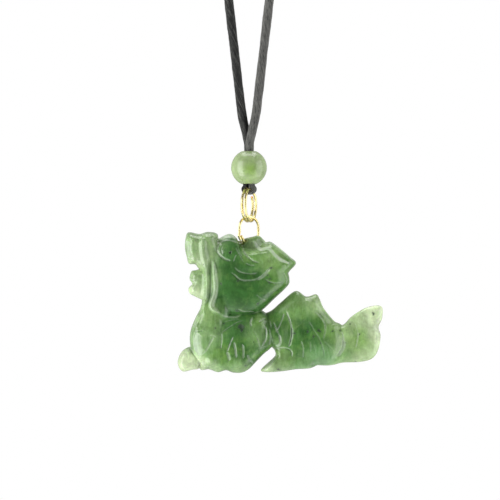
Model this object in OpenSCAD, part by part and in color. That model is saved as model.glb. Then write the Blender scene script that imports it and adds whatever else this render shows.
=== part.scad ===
// Carved jade dragon pendant. It hangs by an oval ring from a split ring,
// which the doubled end of a necklace cord carries below a jade bead.

/* [Dragon] */
// Width of the carving, from the pearl to the tail
dragon_w = 45.8; // [36:0.1:60]
// Height of the carving, from the paws to the muzzle
dragon_h = 31.5; // [26:0.1:42]
// Thickness of the stone at the cheek
dragon_t = 10; // [8:0.1:14]
// Diameter of the hole drilled through the crest
bore_d = 1.1; // [1:0.05:1.3]
// Radius of the hollow ground round each end of the hole
hollow_r = 1.45; // [1.35:0.05:1.7]
// Height of the raised folds and curls above the stone round them
fold_r = 0.5; // [0.3:0.05:0.8]

/* [Oval ring] */
// Wire of the oval ring that passes through the dragon
link_wire = 0.55; // [0.4:0.01:0.65]
// Outer width of the oval ring
link_w = 5.45; // [5:0.05:6.2]
// Outer height of the oval ring
link_h = 6.5; // [6.3:0.05:8]
// Turn of the oval ring out of the carving's plane, in degrees
link_turn = 31; // [20:1:36]

/* [Split ring] */
// Wire of the split ring
split_wire = 0.58; // [0.4:0.01:0.7]
// Outer diameter of the split ring
split_d = 7.9; // [7:0.1:10]
// Gap between the two turns of wire
coil_gap = 0.04; // [0.02:0.01:0.08]
// Turn of the split ring from the side view, in degrees
split_turn = 19; // [5:1:24]
// Play left round the coil for the oval ring that swings on it
ring_play = 0.08; // [0.05:0.01:0.2]

/* [Bead] */
// Diameter of the bead above the rings
bead_d = 8; // [7:0.1:11]
// Diameter of the hole for the doubled cord
bead_bore_d = 2.8; // [2.6:0.05:3.4]
// Gap between the bead and the split ring
bead_gap = 0.35; // [0.2:0.05:0.8]

/* [Cord] */
// Diameter of the round cord
cord_d = 2; // [1.7:0.05:2.2]
// Length of the whole loop of cord along its middle
cord_l = 450; // [400:5:600]
// Lean of each strand from upright, in degrees
cord_lean = 6.6; // [6:0.1:9]
// Turn of the two strands where they leave the bead, the right one in front, in degrees
cord_cross = 80; // [20:5:90]
// Gap that the cord keeps from what it passes through
fit_gap = 0.1; // [0.06:0.01:0.12]

/* [Closure] */
// Length of the sleeve that joins the ends of the cord
closure_l = 8; // [5:0.5:14]
// Outer diameter of the sleeve
closure_d = 3.4; // [2.9:0.1:4.5]

/* [Hidden] */
$fn = 96;

// The carving's tables are drawn in units of about a hundredth of its width: [across, up].
// Where the hole crosses the carving's middle plane, in the drawing
BORE_AT = [34.8, 63.4];
// Power of the domes: a high one gives a flat face with a tight round edge
DOME_POWER = 5;
// Rings of faces from the rim of a dome to its middle
DOME_RINGS = 5;
// Faces along each stretch of an outline between two of its points
CURVE_STEPS = 2;
// Sides of the raised folds
FOLD_SIDES = 6;

// Outlines of the carving's forms, clockwise seen from the front: [across, up]
UPPER_JAW = [[3.5, 61], [3.8, 66], [5.2, 68.8], [10.6, 68], [14.5, 69], [19, 68.2], [20, 65],
    [22, 57], [20, 50], [14, 48.5], [10.2, 51], [8.4, 53], [5.4, 53.4], [4.3, 57]];
LOWER_JAW = [[8.6, 50.2], [14, 51], [18, 46], [18, 38], [14, 34.5], [11.5, 35.8], [9, 37],
    [5.8, 38.8], [5.3, 41.5], [7, 43.6], [5.7, 46], [6.6, 49.6]];
NECK = [[12.5, 58], [20, 60], [25, 50], [26, 36], [25, 22], [14, 19], [10.6, 28], [11.9, 35],
    [12.4, 44]];
HEAD = [[13, 56], [15, 63], [19.5, 65.4], [24.9, 68], [28.5, 66.2], [31, 62], [36, 60.5],
    [41, 61.5], [46, 61.5], [51, 58.5], [55, 54], [54, 49.7], [54.6, 46], [53.8, 42.6],
    [46.4, 35.4], [41.8, 31], [37, 28], [30, 26.5], [22, 28], [16.5, 33], [14, 42]];
CREST = [[28, 64.5], [30.6, 64.6], [33, 65.8], [36.3, 66.6], [39.4, 67.3], [41.5, 65.6],
    [43.2, 63.5], [43.5, 61], [40, 58], [34, 57.5], [29, 60]];
MANE = [[40, 62.5], [43.1, 63.8], [45.6, 64], [50.7, 60.3], [54.5, 57], [57.8, 53.8],
    [54.9, 50], [51, 46], [42, 48], [37, 56]];
CHEST = [[15, 44], [20, 38], [24, 26], [24, 14], [20, 4], [12, 3], [8, 7], [6, 13.9], [6.2, 20.4],
    [8.6, 26.8], [11.5, 32.4], [12, 36]];
FORELEG = [[8, 14], [12, 26], [22, 31], [34, 31], [42, 30], [46, 24], [47, 15], [45.3, 11.9],
    [42.1, 9.2], [38.5, 5.5], [34.9, 1.8], [31.4, 0], [27, 0], [23.6, 1.1], [19.6, 0.2],
    [15.3, 1.6], [10.4, 2.2]];
BACK = [[40.5, 27], [42.2, 28.8], [46, 30.6], [50.7, 34.7], [57.6, 40], [62.8, 37.3],
    [67.6, 38.4], [69.4, 36], [71.4, 31.5], [76.4, 25.4], [80.2, 22.8], [82, 13], [76, 4.4],
    [66.7, 3.6], [58, 4], [50, 8], [46.8, 11.6], [43, 16], [40, 23]];
TAIL = [[70, 22], [76, 23.4], [80.8, 23.4], [85, 27.5], [91.4, 31.5], [97.1, 32.9], [100, 31.8],
    [100, 26.8], [98.2, 22.2], [99.2, 18], [98, 11.1], [95, 6.8], [89.3, 5.2], [80.7, 4.8],
    [75, 3.7], [70, 6], [68, 16]];
HIND_FOOT = [[47.4, 8], [48, 11.8], [56, 14], [66, 12], [68.8, 5.4], [65.4, 2.3], [57.8, 1.6],
    [50.7, 0.6], [43, 0.2], [40.8, 1.6]];
PEARL = [[0, 6.1], [2, 10.4], [6, 12.6], [11, 11.5], [12.5, 7], [10.5, 2.2], [7, 1.4],
    [2.7, 0.5], [0.5, 2.6]];

// Each form is a dome on both faces of the stone: [outline, middle, share of the thickness]
FORMS = [
    [UPPER_JAW, [12.5, 59], 0.92],
    [LOWER_JAW, [12, 43.5], 0.72],
    [NECK, [18, 40], 0.94],
    [HEAD, [33, 47], 1],
    [CREST, [36, 62], 0.26],
    [MANE, [47, 55.5], 0.74],
    [CHEST, [14.5, 23], 0.97],
    [FORELEG, [27, 15], 0.9],
    [BACK, [61, 19.5], 0.56],
    [TAIL, [86, 17], 0.34],
    [HIND_FOOT, [54, 7], 0.52],
    [PEARL, [6.2, 6.2], 0.66]
];

// Raised folds and curls: [across, up, share of the thickness, share of the fold's full radius]
OUTER_FOLD = [[12, 65, 0.72, 0.5], [12.8, 58, 0.85, 1], [13.1, 50, 0.84, 1], [13.6, 42, 0.82, 1],
    [13.4, 34, 0.86, 1], [12.4, 26, 0.9, 0.5]];
INNER_FOLD = [[17, 55, 0.9, 0.5], [18.2, 49, 0.92, 1], [18.5, 42, 0.94, 1], [17.6, 35, 0.94, 1],
    [20, 30.5, 0.9, 0.5]];
CHEEK_CURL = [[26.3, 48.5, 0.98, 0.5], [32, 45.4, 1, 1], [38.5, 45.6, 0.99, 1],
    [43.5, 48.2, 0.96, 1], [45.2, 51.2, 0.95, 0.5]];
MANE_RIDGE = [[38, 63.5, 0.4, 0.5], [40, 61, 0.55, 1], [46.4, 60.2, 0.7, 1],
    [50.7, 55.6, 0.8, 1], [55.4, 53.6, 0.6, 0.5]];
FOLDS = [OUTER_FOLD, INNER_FOLD, CHEEK_CURL, MANE_RIDGE];
// Eye boss: [across, up], radius and height, both in the drawing's units, and share of the thickness
EYE_AT = [23.8, 59.4];
EYE_R = 4.3;
EYE_RISE = 2.4;
EYE_SHARE = 0.86;

// Millimetres to one unit of the drawing, across and up
rims = [for (row = FORMS) each curve(row[0], CURVE_STEPS)];
rims_x = [for (p = rims) p.x];
rims_z = [for (p = rims) p.y];
unit_x = dragon_w / (max(rims_x) - min(rims_x));
unit_z = dragon_h / (max(rims_z) - min(rims_z));

// Sections of the split ring: sides of the wire, most degrees between two sections
WIRE_SIDES = 8;
COIL_STEP = 15;
// The first turn starts this far round from the top, crosses over before it is whole, and the
// second turn stops where the crossing began
COIL_START = 75;
COIL_CROSS = 45;
coil_pitch = split_wire + coil_gap;
coil_r = (split_d - split_wire) / 2;
coil_w = coil_pitch + split_wire;

// Share of the cord's radius that is left where the ring's wires press into it
BIGHT_SHARE = 0.5;
// Share of the hole's radius that each strand fills from front to back
LEG_DEPTH_SHARE = 0.7;
// Straight cord on each side of the sleeve and length of the swell above the bead, in diameters
STRAIGHT_SHARE = 1;
SWELL_SHARE = 1.3;
// The strands run straight past each other for the first share, and lie side by side from the
// second one, both in diameters above the bead
CROSS_FROM = 0.75;
CROSS_TO = 4.5;
// Sides of the cord, steps along each strand and along each end of the loop, and steps in which
// the strands turn in the bead and above it
CORD_SIDES = 8;
STRAND_STEPS = 6;
ARC_STEPS = 10;
CROSS_STEPS = 5;
// Degrees between two sections where the cord bends under the split ring
BIGHT_STEP = 30;

// Strands inside the bead
leg_r = bead_bore_d / 4 - 0.75 * fit_gap;
leg_x = bead_bore_d / 4 - 0.25 * fit_gap;
leg_depth = LEG_DEPTH_SHARE * bead_bore_d / 2;
// The end of the doubled cord, which passes under the top wires of the split ring
bight_r = BIGHT_SHARE * cord_d / 2;
bight_bend = split_wire / 2 + fit_gap + bight_r;
bight_l = coil_pitch / 2 + PI / 2 * bight_bend;
leg_l = bight_l + split_wire / 2 + bead_gap + bead_d;
// The loop above the bead: two leaning strands, two round ends and a straight top in the sleeve
flat_l = closure_l / 2 + STRAIGHT_SHARE * cord_d;
round_k = (90 + cord_lean) * PI / 180 - tan(cord_lean);
loop_h = (cord_l / 2 - leg_l - flat_l - round_k * (leg_x - flat_l) * cos(cord_lean))
    / (1 / cos(cord_lean) + round_k * sin(cord_lean));
loop_r = (leg_x - flat_l) * cos(cord_lean) + loop_h * sin(cord_lean);
swell_l = SWELL_SHARE * cord_d;
cross_from = CROSS_FROM * cord_d;
cross_to = CROSS_TO * cord_d;

// Heights, counted down from the underside of the sleeve
top_z = closure_d / 2;
arc_z = top_z - loop_r;
bead_top = arc_z - loop_h;
bead_z = bead_top - bead_d / 2;
bead_rim = sqrt(bead_d * bead_d - bead_bore_d * bead_bore_d) / 2;
split_top = bead_z - bead_d / 2 - bead_gap - split_wire / 2;
split_z = split_top - coil_r;
hang_h = norm([coil_w / 2, split_wire / 2]) + link_wire / 2 + ring_play;
link_top = split_z - coil_r + hang_h;
bore_z = link_top - (link_h - link_wire);

// Oval ring: radius of its round ends and length of its straight sides, along the wire's middle
link_r = (link_w - link_wire) / 2;
link_straight = link_h - link_w;
// Hollows at the ends of the bore follow the ring's round end
hollow_x = 0.86 * link_r;
hollow_z = link_r - sqrt(link_r * link_r - hollow_x * hollow_x);
bore_l = 2 * hollow_x;

// Smooth closed curve through the points p, with n steps from one point to the next
function curve(p, n) = [for (i = [0:len(p) - 1])
    let (
        a = p[(i + len(p) - 1) % len(p)],
        b = p[i],
        c = p[(i + 1) % len(p)],
        d = p[(i + 2) % len(p)]
    )
    for (k = [0:n - 1])
        let (t = k / n)
        0.5 * (2 * b + (c - a) * t + (2 * a - 5 * b + 4 * c - d) * t * t
            + (3 * b - a - 3 * c + d) * t * t * t)];

// Faces between rings of n points each, which run clockwise as seen from the first ring
function band_faces(rings, n) = [for (j = [0:rings - 2], i = [0:n - 1])
    let (k = (i + 1) % n)
    each [
        [j * n + i, (j + 1) * n + k, j * n + k],
        [j * n + i, (j + 1) * n + i, (j + 1) * n + k]
    ]];

// Both faces of one form: its outline shrinks to the middle while the stone swells front and back
module form(outline, middle, share) {
    rim = curve(outline, CURVE_STEPS);
    n = len(rim);
    rings = 2 * DOME_RINGS - 1;
    points = [
        for (j = [1:rings], p = rim)
            let (
                angle = 90 * (j / DOME_RINGS - 1),
                s = pow(cos(angle), 2 / DOME_POWER),
                q = middle + (p - middle) * s
            )
            [q.x, share * sin(angle), q.y],
        [middle.x, -share, middle.y],
        [middle.x, share, middle.y]
    ];
    front = rings * n;
    polyhedron(points, [
        each band_faces(rings, n),
        for (i = [0:n - 1]) [front, i, (i + 1) % n],
        for (i = [0:n - 1]) [front + 1, (rings - 1) * n + (i + 1) % n, (rings - 1) * n + i]
    ]);
}

// A raised fold on the front face: a tapered rod along its rows, round in millimetres
module fold(rows) {
    last = len(rows) - 1;
    points = [for (i = [0:last])
        let (
            a = rows[max(i - 1, 0)],
            b = rows[min(i + 1, last)],
            along = [b.x - a.x, b.y - a.y],
            side = [along.y, -along.x] / norm(along),
            r = fold_r * rows[i][3]
        )
        for (k = [0:FOLD_SIDES - 1])
            let (angle = 360 * k / FOLD_SIDES)
            [
                rows[i].x + r * cos(angle) * side.x / unit_x,
                -rows[i].z + r * sin(angle) / (dragon_t / 2),
                rows[i].y + r * cos(angle) * side.y / unit_z
            ]];
    polyhedron(points, [
        each band_faces(last + 1, FOLD_SIDES),
        [for (k = [0:FOLD_SIDES - 1]) k],
        [for (k = [FOLD_SIDES - 1:-1:0]) last * FOLD_SIDES + k]
    ]);
}

// What is raised on the front face
module relief() {
    for (rows = FOLDS) fold(rows);
    translate([EYE_AT.x, -EYE_SHARE, EYE_AT.y])
        scale([EYE_R, EYE_RISE * unit_x / (dragon_t / 2), EYE_R])
            sphere(1, $fn = 16);
}

// A ground hollow at one end of the bore, on the side of the given sign
module hollow(sign) {
    translate([
        BORE_AT.x + sign * hollow_x * cos(link_turn) / unit_x,
        sign * hollow_x * sin(link_turn) / (dragon_t / 2),
        BORE_AT.y + hollow_z / unit_z
    ])
        scale([hollow_r / unit_x, hollow_r / (dragon_t / 2), hollow_r / unit_z])
            sphere(1, $fn = 24);
}

// The carving in its drawing's units, one unit deep on each side of its middle plane
module drawn_dragon() {
    difference() {
        union() {
            for (row = FORMS) form(row[0], row[1], row[2]);
            relief();
            mirror([0, 1, 0]) relief();
        }
        hollow(-1);
        hollow(1);
    }
}

module dragon() {
    color([0.36, 0.55, 0.3])
        difference() {
            translate([-BORE_AT.x * unit_x, 0, bore_z - BORE_AT.y * unit_z])
                resize([dragon_w, dragon_t, dragon_h])
                    drawn_dragon();
            translate([0, 0, bore_z])
                rotate([0, 90, link_turn])
                    cylinder(d = bore_d, h = bore_l, center = true);
        }
}

// Half of the oval ring's round end, turned to open downwards or upwards
module link_end(flip) {
    rotate([90, flip, 0])
        rotate_extrude(angle = 180)
            translate([link_r, 0])
                circle(d = link_wire);
}

module jump_ring() {
    color([0.87, 0.7, 0.33])
        translate([0, 0, (link_top + bore_z) / 2])
            rotate([0, 0, link_turn])
                union() {
                    translate([0, 0, link_straight / 2]) link_end(0);
                    translate([0, 0, -link_straight / 2]) link_end(180);
                    for (side = [-1, 1])
                        translate([side * link_r, 0, 0])
                            cylinder(d = link_wire, h = link_straight, center = true);
                }
}

// Place of the wire's middle along the split ring's axis, a given angle from its start
function coil_shift(angle) =
    let (cross = max(0, min(1, (angle - 360 + COIL_CROSS) / COIL_CROSS)))
    coil_pitch * (cross * cross * (3 - 2 * cross) - 0.5);

module split_ring() {
    span = 720 - COIL_CROSS;
    stations = ceil(span / COIL_STEP);
    points = [for (i = [0:stations])
        let (angle = span * i / stations, turn = COIL_START + angle)
        for (k = [0:WIRE_SIDES - 1])
            let (
                side = 360 * k / WIRE_SIDES,
                r = coil_r + split_wire / 2 * cos(side)
            )
            [coil_shift(angle) + split_wire / 2 * sin(side), r * sin(turn), r * cos(turn)]];
    color([0.85, 0.68, 0.32])
        translate([0, 0, split_z])
            rotate([0, 0, -split_turn])
                polyhedron(points, [
                    each band_faces(stations + 1, WIRE_SIDES),
                    [for (k = [0:WIRE_SIDES - 1]) k],
                    [for (k = [WIRE_SIDES - 1:-1:0]) stations * WIRE_SIDES + k]
                ]);
}

module bead() {
    color([0.6, 0.74, 0.5])
        translate([0, 0, bead_z])
            difference() {
                sphere(d = bead_d);
                cylinder(d = bead_bore_d, h = 2 * bead_d, center = true);
            }
}

// Right half of the cord's route, from below the split ring's top wires to the loop's top:
// [out from the middle, height, half width, half depth]
HALF_ROUTE = [
    for (angle = [0:BIGHT_STEP:90])
        [coil_pitch / 2 + bight_bend * sin(angle), split_top - bight_bend * cos(angle), bight_r,
            cord_d / 2],
    for (i = [0:CROSS_STEPS])
        [leg_x, bead_z - bead_rim + 2 * bead_rim * i / CROSS_STEPS, leg_r, leg_depth],
    for (i = [0:CROSS_STEPS])
        let (
            h = cross_from + (cross_to - cross_from) * i / CROSS_STEPS,
            swell = min(1, h / swell_l)
        )
        [
            max(leg_x + h * tan(cord_lean), leg_x + (cord_d / 2 + fit_gap - leg_x) * swell),
            bead_top + h,
            leg_r + (cord_d / 2 - leg_r) * swell,
            leg_depth + (cord_d / 2 - leg_depth) * swell
        ],
    for (i = [1:STRAND_STEPS - 1])
        let (h = cross_to + (loop_h - loop_r * sin(cord_lean) - cross_to) * i / STRAND_STEPS)
        [leg_x + h * tan(cord_lean), bead_top + h, cord_d / 2, cord_d / 2],
    for (i = [0:ARC_STEPS])
        let (angle = -cord_lean + (90 + cord_lean) * i / ARC_STEPS)
        [flat_l + loop_r * cos(angle), arc_z + loop_r * sin(angle), cord_d / 2, cord_d / 2]
];
HALF_COUNT = len(HALF_ROUTE);
CORD_ROUTE = [
    each HALF_ROUTE,
    for (i = [HALF_COUNT - 1:-1:0])
        let (row = HALF_ROUTE[i])
        [-row[0], row[1], row[2], row[3]]
];

// Turn of the plane in which the two strands lie: that of the split ring below the bead, more and
// more inside it, and none from where they lie side by side
function cord_turn(z) = z < bead_top
    ? split_turn + (cord_cross - split_turn) * max(0, min(1, (z - bead_z + bead_rim) / (2 * bead_rim)))
    : cord_cross * max(0, min(1, (bead_top + cross_to - z) / (cross_to - cross_from)));

module cord() {
    count = len(CORD_ROUTE);
    points = [for (i = [0:count - 1])
        let (
            row = CORD_ROUTE[i],
            a = CORD_ROUTE[(i + count - 1) % count],
            b = CORD_ROUTE[(i + 1) % count],
            along = [b.x - a.x, b.y - a.y] / norm([b.x - a.x, b.y - a.y]),
            turn = cord_turn(row.y)
        )
        for (k = [0:CORD_SIDES - 1])
            let (
                angle = 360 * (k + 0.5) / CORD_SIDES,
                out = row.x + row[2] * cos(angle) * along.y,
                up = row.y - row[2] * cos(angle) * along.x,
                deep = row[3] * sin(angle)
            )
            [out * cos(turn) + deep * sin(turn), deep * cos(turn) - out * sin(turn), up]];
    color([0.07, 0.07, 0.08])
        polyhedron(points, [
            each band_faces(count, CORD_SIDES),
            for (k = [0:CORD_SIDES - 1])
                let (j = (k + 1) % CORD_SIDES, last = (count - 1) * CORD_SIDES)
                each [[last + k, j, last + j], [last + k, k, j]]
        ]);
}

module closure() {
    color([0.12, 0.12, 0.13])
        translate([0, 0, top_z])
            rotate([0, 90, 0])
                difference() {
                    cylinder(d = closure_d, h = closure_l, center = true);
                    cylinder(d = cord_d + 2 * fit_gap, h = 2 * closure_l, center = true);
                }
}

cord();
closure();
bead();
split_ring();
jump_ring();
dragon();
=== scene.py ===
"""Carved jade dragon that hangs by an oval ring and a split ring below a jade bead on a black cord loop.

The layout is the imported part's own: +Z up, +X to the right as seen from the front, the sleeve at the top of
the loop at the origin. The dragon's tables are drawn in hundredths of its width, [across, up].
"""
import math

import bpy
import numpy as np
from bpy.props import FloatProperty, FloatVectorProperty, IntProperty, PointerProperty
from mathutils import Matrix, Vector


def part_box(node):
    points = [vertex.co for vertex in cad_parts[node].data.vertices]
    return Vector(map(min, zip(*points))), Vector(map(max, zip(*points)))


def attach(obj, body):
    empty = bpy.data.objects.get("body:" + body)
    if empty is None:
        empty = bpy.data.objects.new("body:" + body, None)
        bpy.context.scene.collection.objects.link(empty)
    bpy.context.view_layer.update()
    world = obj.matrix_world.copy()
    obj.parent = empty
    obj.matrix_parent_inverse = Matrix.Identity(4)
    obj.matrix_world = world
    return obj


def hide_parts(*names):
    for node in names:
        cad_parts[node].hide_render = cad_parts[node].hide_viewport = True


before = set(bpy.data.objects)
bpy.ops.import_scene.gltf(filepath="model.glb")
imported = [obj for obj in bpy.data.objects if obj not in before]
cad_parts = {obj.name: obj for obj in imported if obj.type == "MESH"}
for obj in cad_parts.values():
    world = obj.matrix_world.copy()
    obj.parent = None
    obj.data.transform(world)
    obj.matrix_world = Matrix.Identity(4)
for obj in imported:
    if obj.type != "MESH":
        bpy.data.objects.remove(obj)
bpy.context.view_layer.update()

bl_info = {
    "name": "Carved jade dragon necklace",
    "version": (1, 0, 0),
    "blender": (4, 5, 0),
    "location": "3D View > Sidebar > Jade",
    "description": "Builds a carved jade dragon on its rings, bead and cord loop, with stage and camera",
    "category": "Add Mesh",
}

MM = 0.001


# The drawing
# Where the hole crosses the carving's middle plane
BORE_AT = np.array([34.8, 63.4])
# The carving's forms: share of the thickness, middle, and outline, clockwise as seen from the front
FORMS = {
    "upper jaw": (0.92, (12.5, 59), [
        (3.5, 61), (3.8, 66), (5.2, 68.8), (10.6, 68), (14.5, 69), (19, 68.2), (20, 65), (22, 57),
        (20, 50), (14, 48.5), (10.2, 51), (8.4, 53), (5.4, 53.4), (4.3, 57),
    ]),
    "lower jaw": (0.72, (12, 43.5), [
        (8.6, 50.2), (14, 51), (18, 46), (18, 38), (14, 34.5), (11.5, 35.8), (9, 37), (5.8, 38.8),
        (5.3, 41.5), (7, 43.6), (5.7, 46), (6.6, 49.6),
    ]),
    "neck": (0.94, (18, 40), [
        (12.5, 58), (20, 60), (25, 50), (26, 36), (25, 22), (14, 19), (10.6, 28), (11.9, 35), (12.4, 44),
    ]),
    "head": (1, (33, 47), [
        (13, 56), (15, 63), (19.5, 65.4), (24.9, 68), (28.5, 66.2), (31, 62), (36, 60.5), (41, 61.5),
        (46, 61.5), (51, 58.5), (55, 54), (54, 49.7), (54.6, 46), (53.8, 42.6), (46.4, 35.4), (41.8, 31),
        (37, 28), (30, 26.5), (22, 28), (16.5, 33), (14, 42),
    ]),
    "crest": (0.26, (36, 62), [
        (28, 64.5), (30.6, 64.6), (33, 65.8), (36.3, 66.6), (39.4, 67.3), (41.5, 65.6), (43.2, 63.5),
        (43.5, 61), (40, 58), (34, 57.5), (29, 60),
    ]),
    "mane": (0.74, (47, 55.5), [
        (40, 62.5), (43.1, 63.8), (45.6, 64), (50.7, 60.3), (54.5, 57), (57.8, 53.8), (54.9, 50), (51, 46),
        (42, 48), (37, 56),
    ]),
    "chest": (0.97, (14.5, 23), [
        (15, 44), (20, 38), (24, 26), (24, 14), (20, 4), (12, 3), (8, 7), (6, 13.9), (6.2, 20.4),
        (8.6, 26.8), (11.5, 32.4), (12, 36),
    ]),
    "foreleg": (0.9, (27, 15), [
        (8, 14), (12, 26), (22, 31), (34, 31), (42, 30), (46, 24), (47, 15), (45.3, 11.9), (42.1, 9.2),
        (38.5, 5.5), (34.9, 1.8), (31.4, 0), (27, 0), (23.6, 1.1), (19.6, 0.2), (15.3, 1.6), (10.4, 2.2),
    ]),
    "back": (0.56, (61, 19.5), [
        (40.5, 27), (42.2, 28.8), (46, 30.6), (50.7, 34.7), (57.6, 40), (62.8, 37.3), (67.6, 38.4),
        (69.4, 36), (71.4, 31.5), (76.4, 25.4), (80.2, 22.8), (82, 13), (76, 4.4), (66.7, 3.6), (58, 4),
        (50, 8), (46.8, 11.6), (43, 16), (40, 23),
    ]),
    "tail": (0.34, (86, 17), [
        (70, 22), (76, 23.4), (80.8, 23.4), (85, 27.5), (91.4, 31.5), (97.1, 32.9), (100, 31.8),
        (100, 26.8), (98.2, 22.2), (99.2, 18), (98, 11.1), (95, 6.8), (89.3, 5.2), (80.7, 4.8), (75, 3.7),
        (70, 6), (68, 16),
    ]),
    "hind foot": (0.52, (54, 7), [
        (47.4, 8), (48, 11.8), (56, 14), (66, 12), (68.8, 5.4), (65.4, 2.3), (57.8, 1.6), (50.7, 0.6),
        (43, 0.2), (40.8, 1.6),
    ]),
    "pearl": (0.66, (6.2, 6.2), [
        (0, 6.1), (2, 10.4), (6, 12.6), (11, 11.5), (12.5, 7), (10.5, 2.2), (7, 1.4), (2.7, 0.5),
        (0.5, 2.6),
    ]),
}
# Broad swells of the stone: across, up, half width, half height, and rise in millimetres
SWELLS = [
    (28, 38.5, 12, 11, 0.3),      # cheek
    (39.5, 58.3, 7, 4.6, 0.45),   # root of the horn
    (24.6, 59.8, 4.4, 4.4, 0.28), # eye
    (25, 66, 5.5, 2.4, 0.35),     # brow
    (15, 66.4, 3.4, 2.6, 0.45),   # nostril
    (36, 49, 8, 3.2, -0.35),      # hollow inside the long curl
    (49, 50, 5, 5, 0.15),         # mane
    (16, 47, 1.5, 16, -0.3),      # channel between the lips
    (15, 25, 5, 7, 0.25),         # throat
    (16.4, 6.6, 3.4, 3.4, 0.38),  # front paw
    (45.3, 19, 3.4, 10, 0.7),     # where the foreleg meets the body
    (53, 51, 4, 5, 0.35),         # mane's right edge
    (48.5, 19, 7, 11, 0.9),       # scales behind the foreleg
    (82, 21, 5, 6, 0.5),          # where the tail leaves the back
    (62.5, 21, 3.5, 6, -0.35),    # hollow of the flank
    (58, 31, 7, 5, 0.2),          # shoulder of the back
    (76, 16, 4, 7, 0.2),          # root of the tail
    (46, 6, 3.5, 4, 0.25),        # hind paw
]
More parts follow.
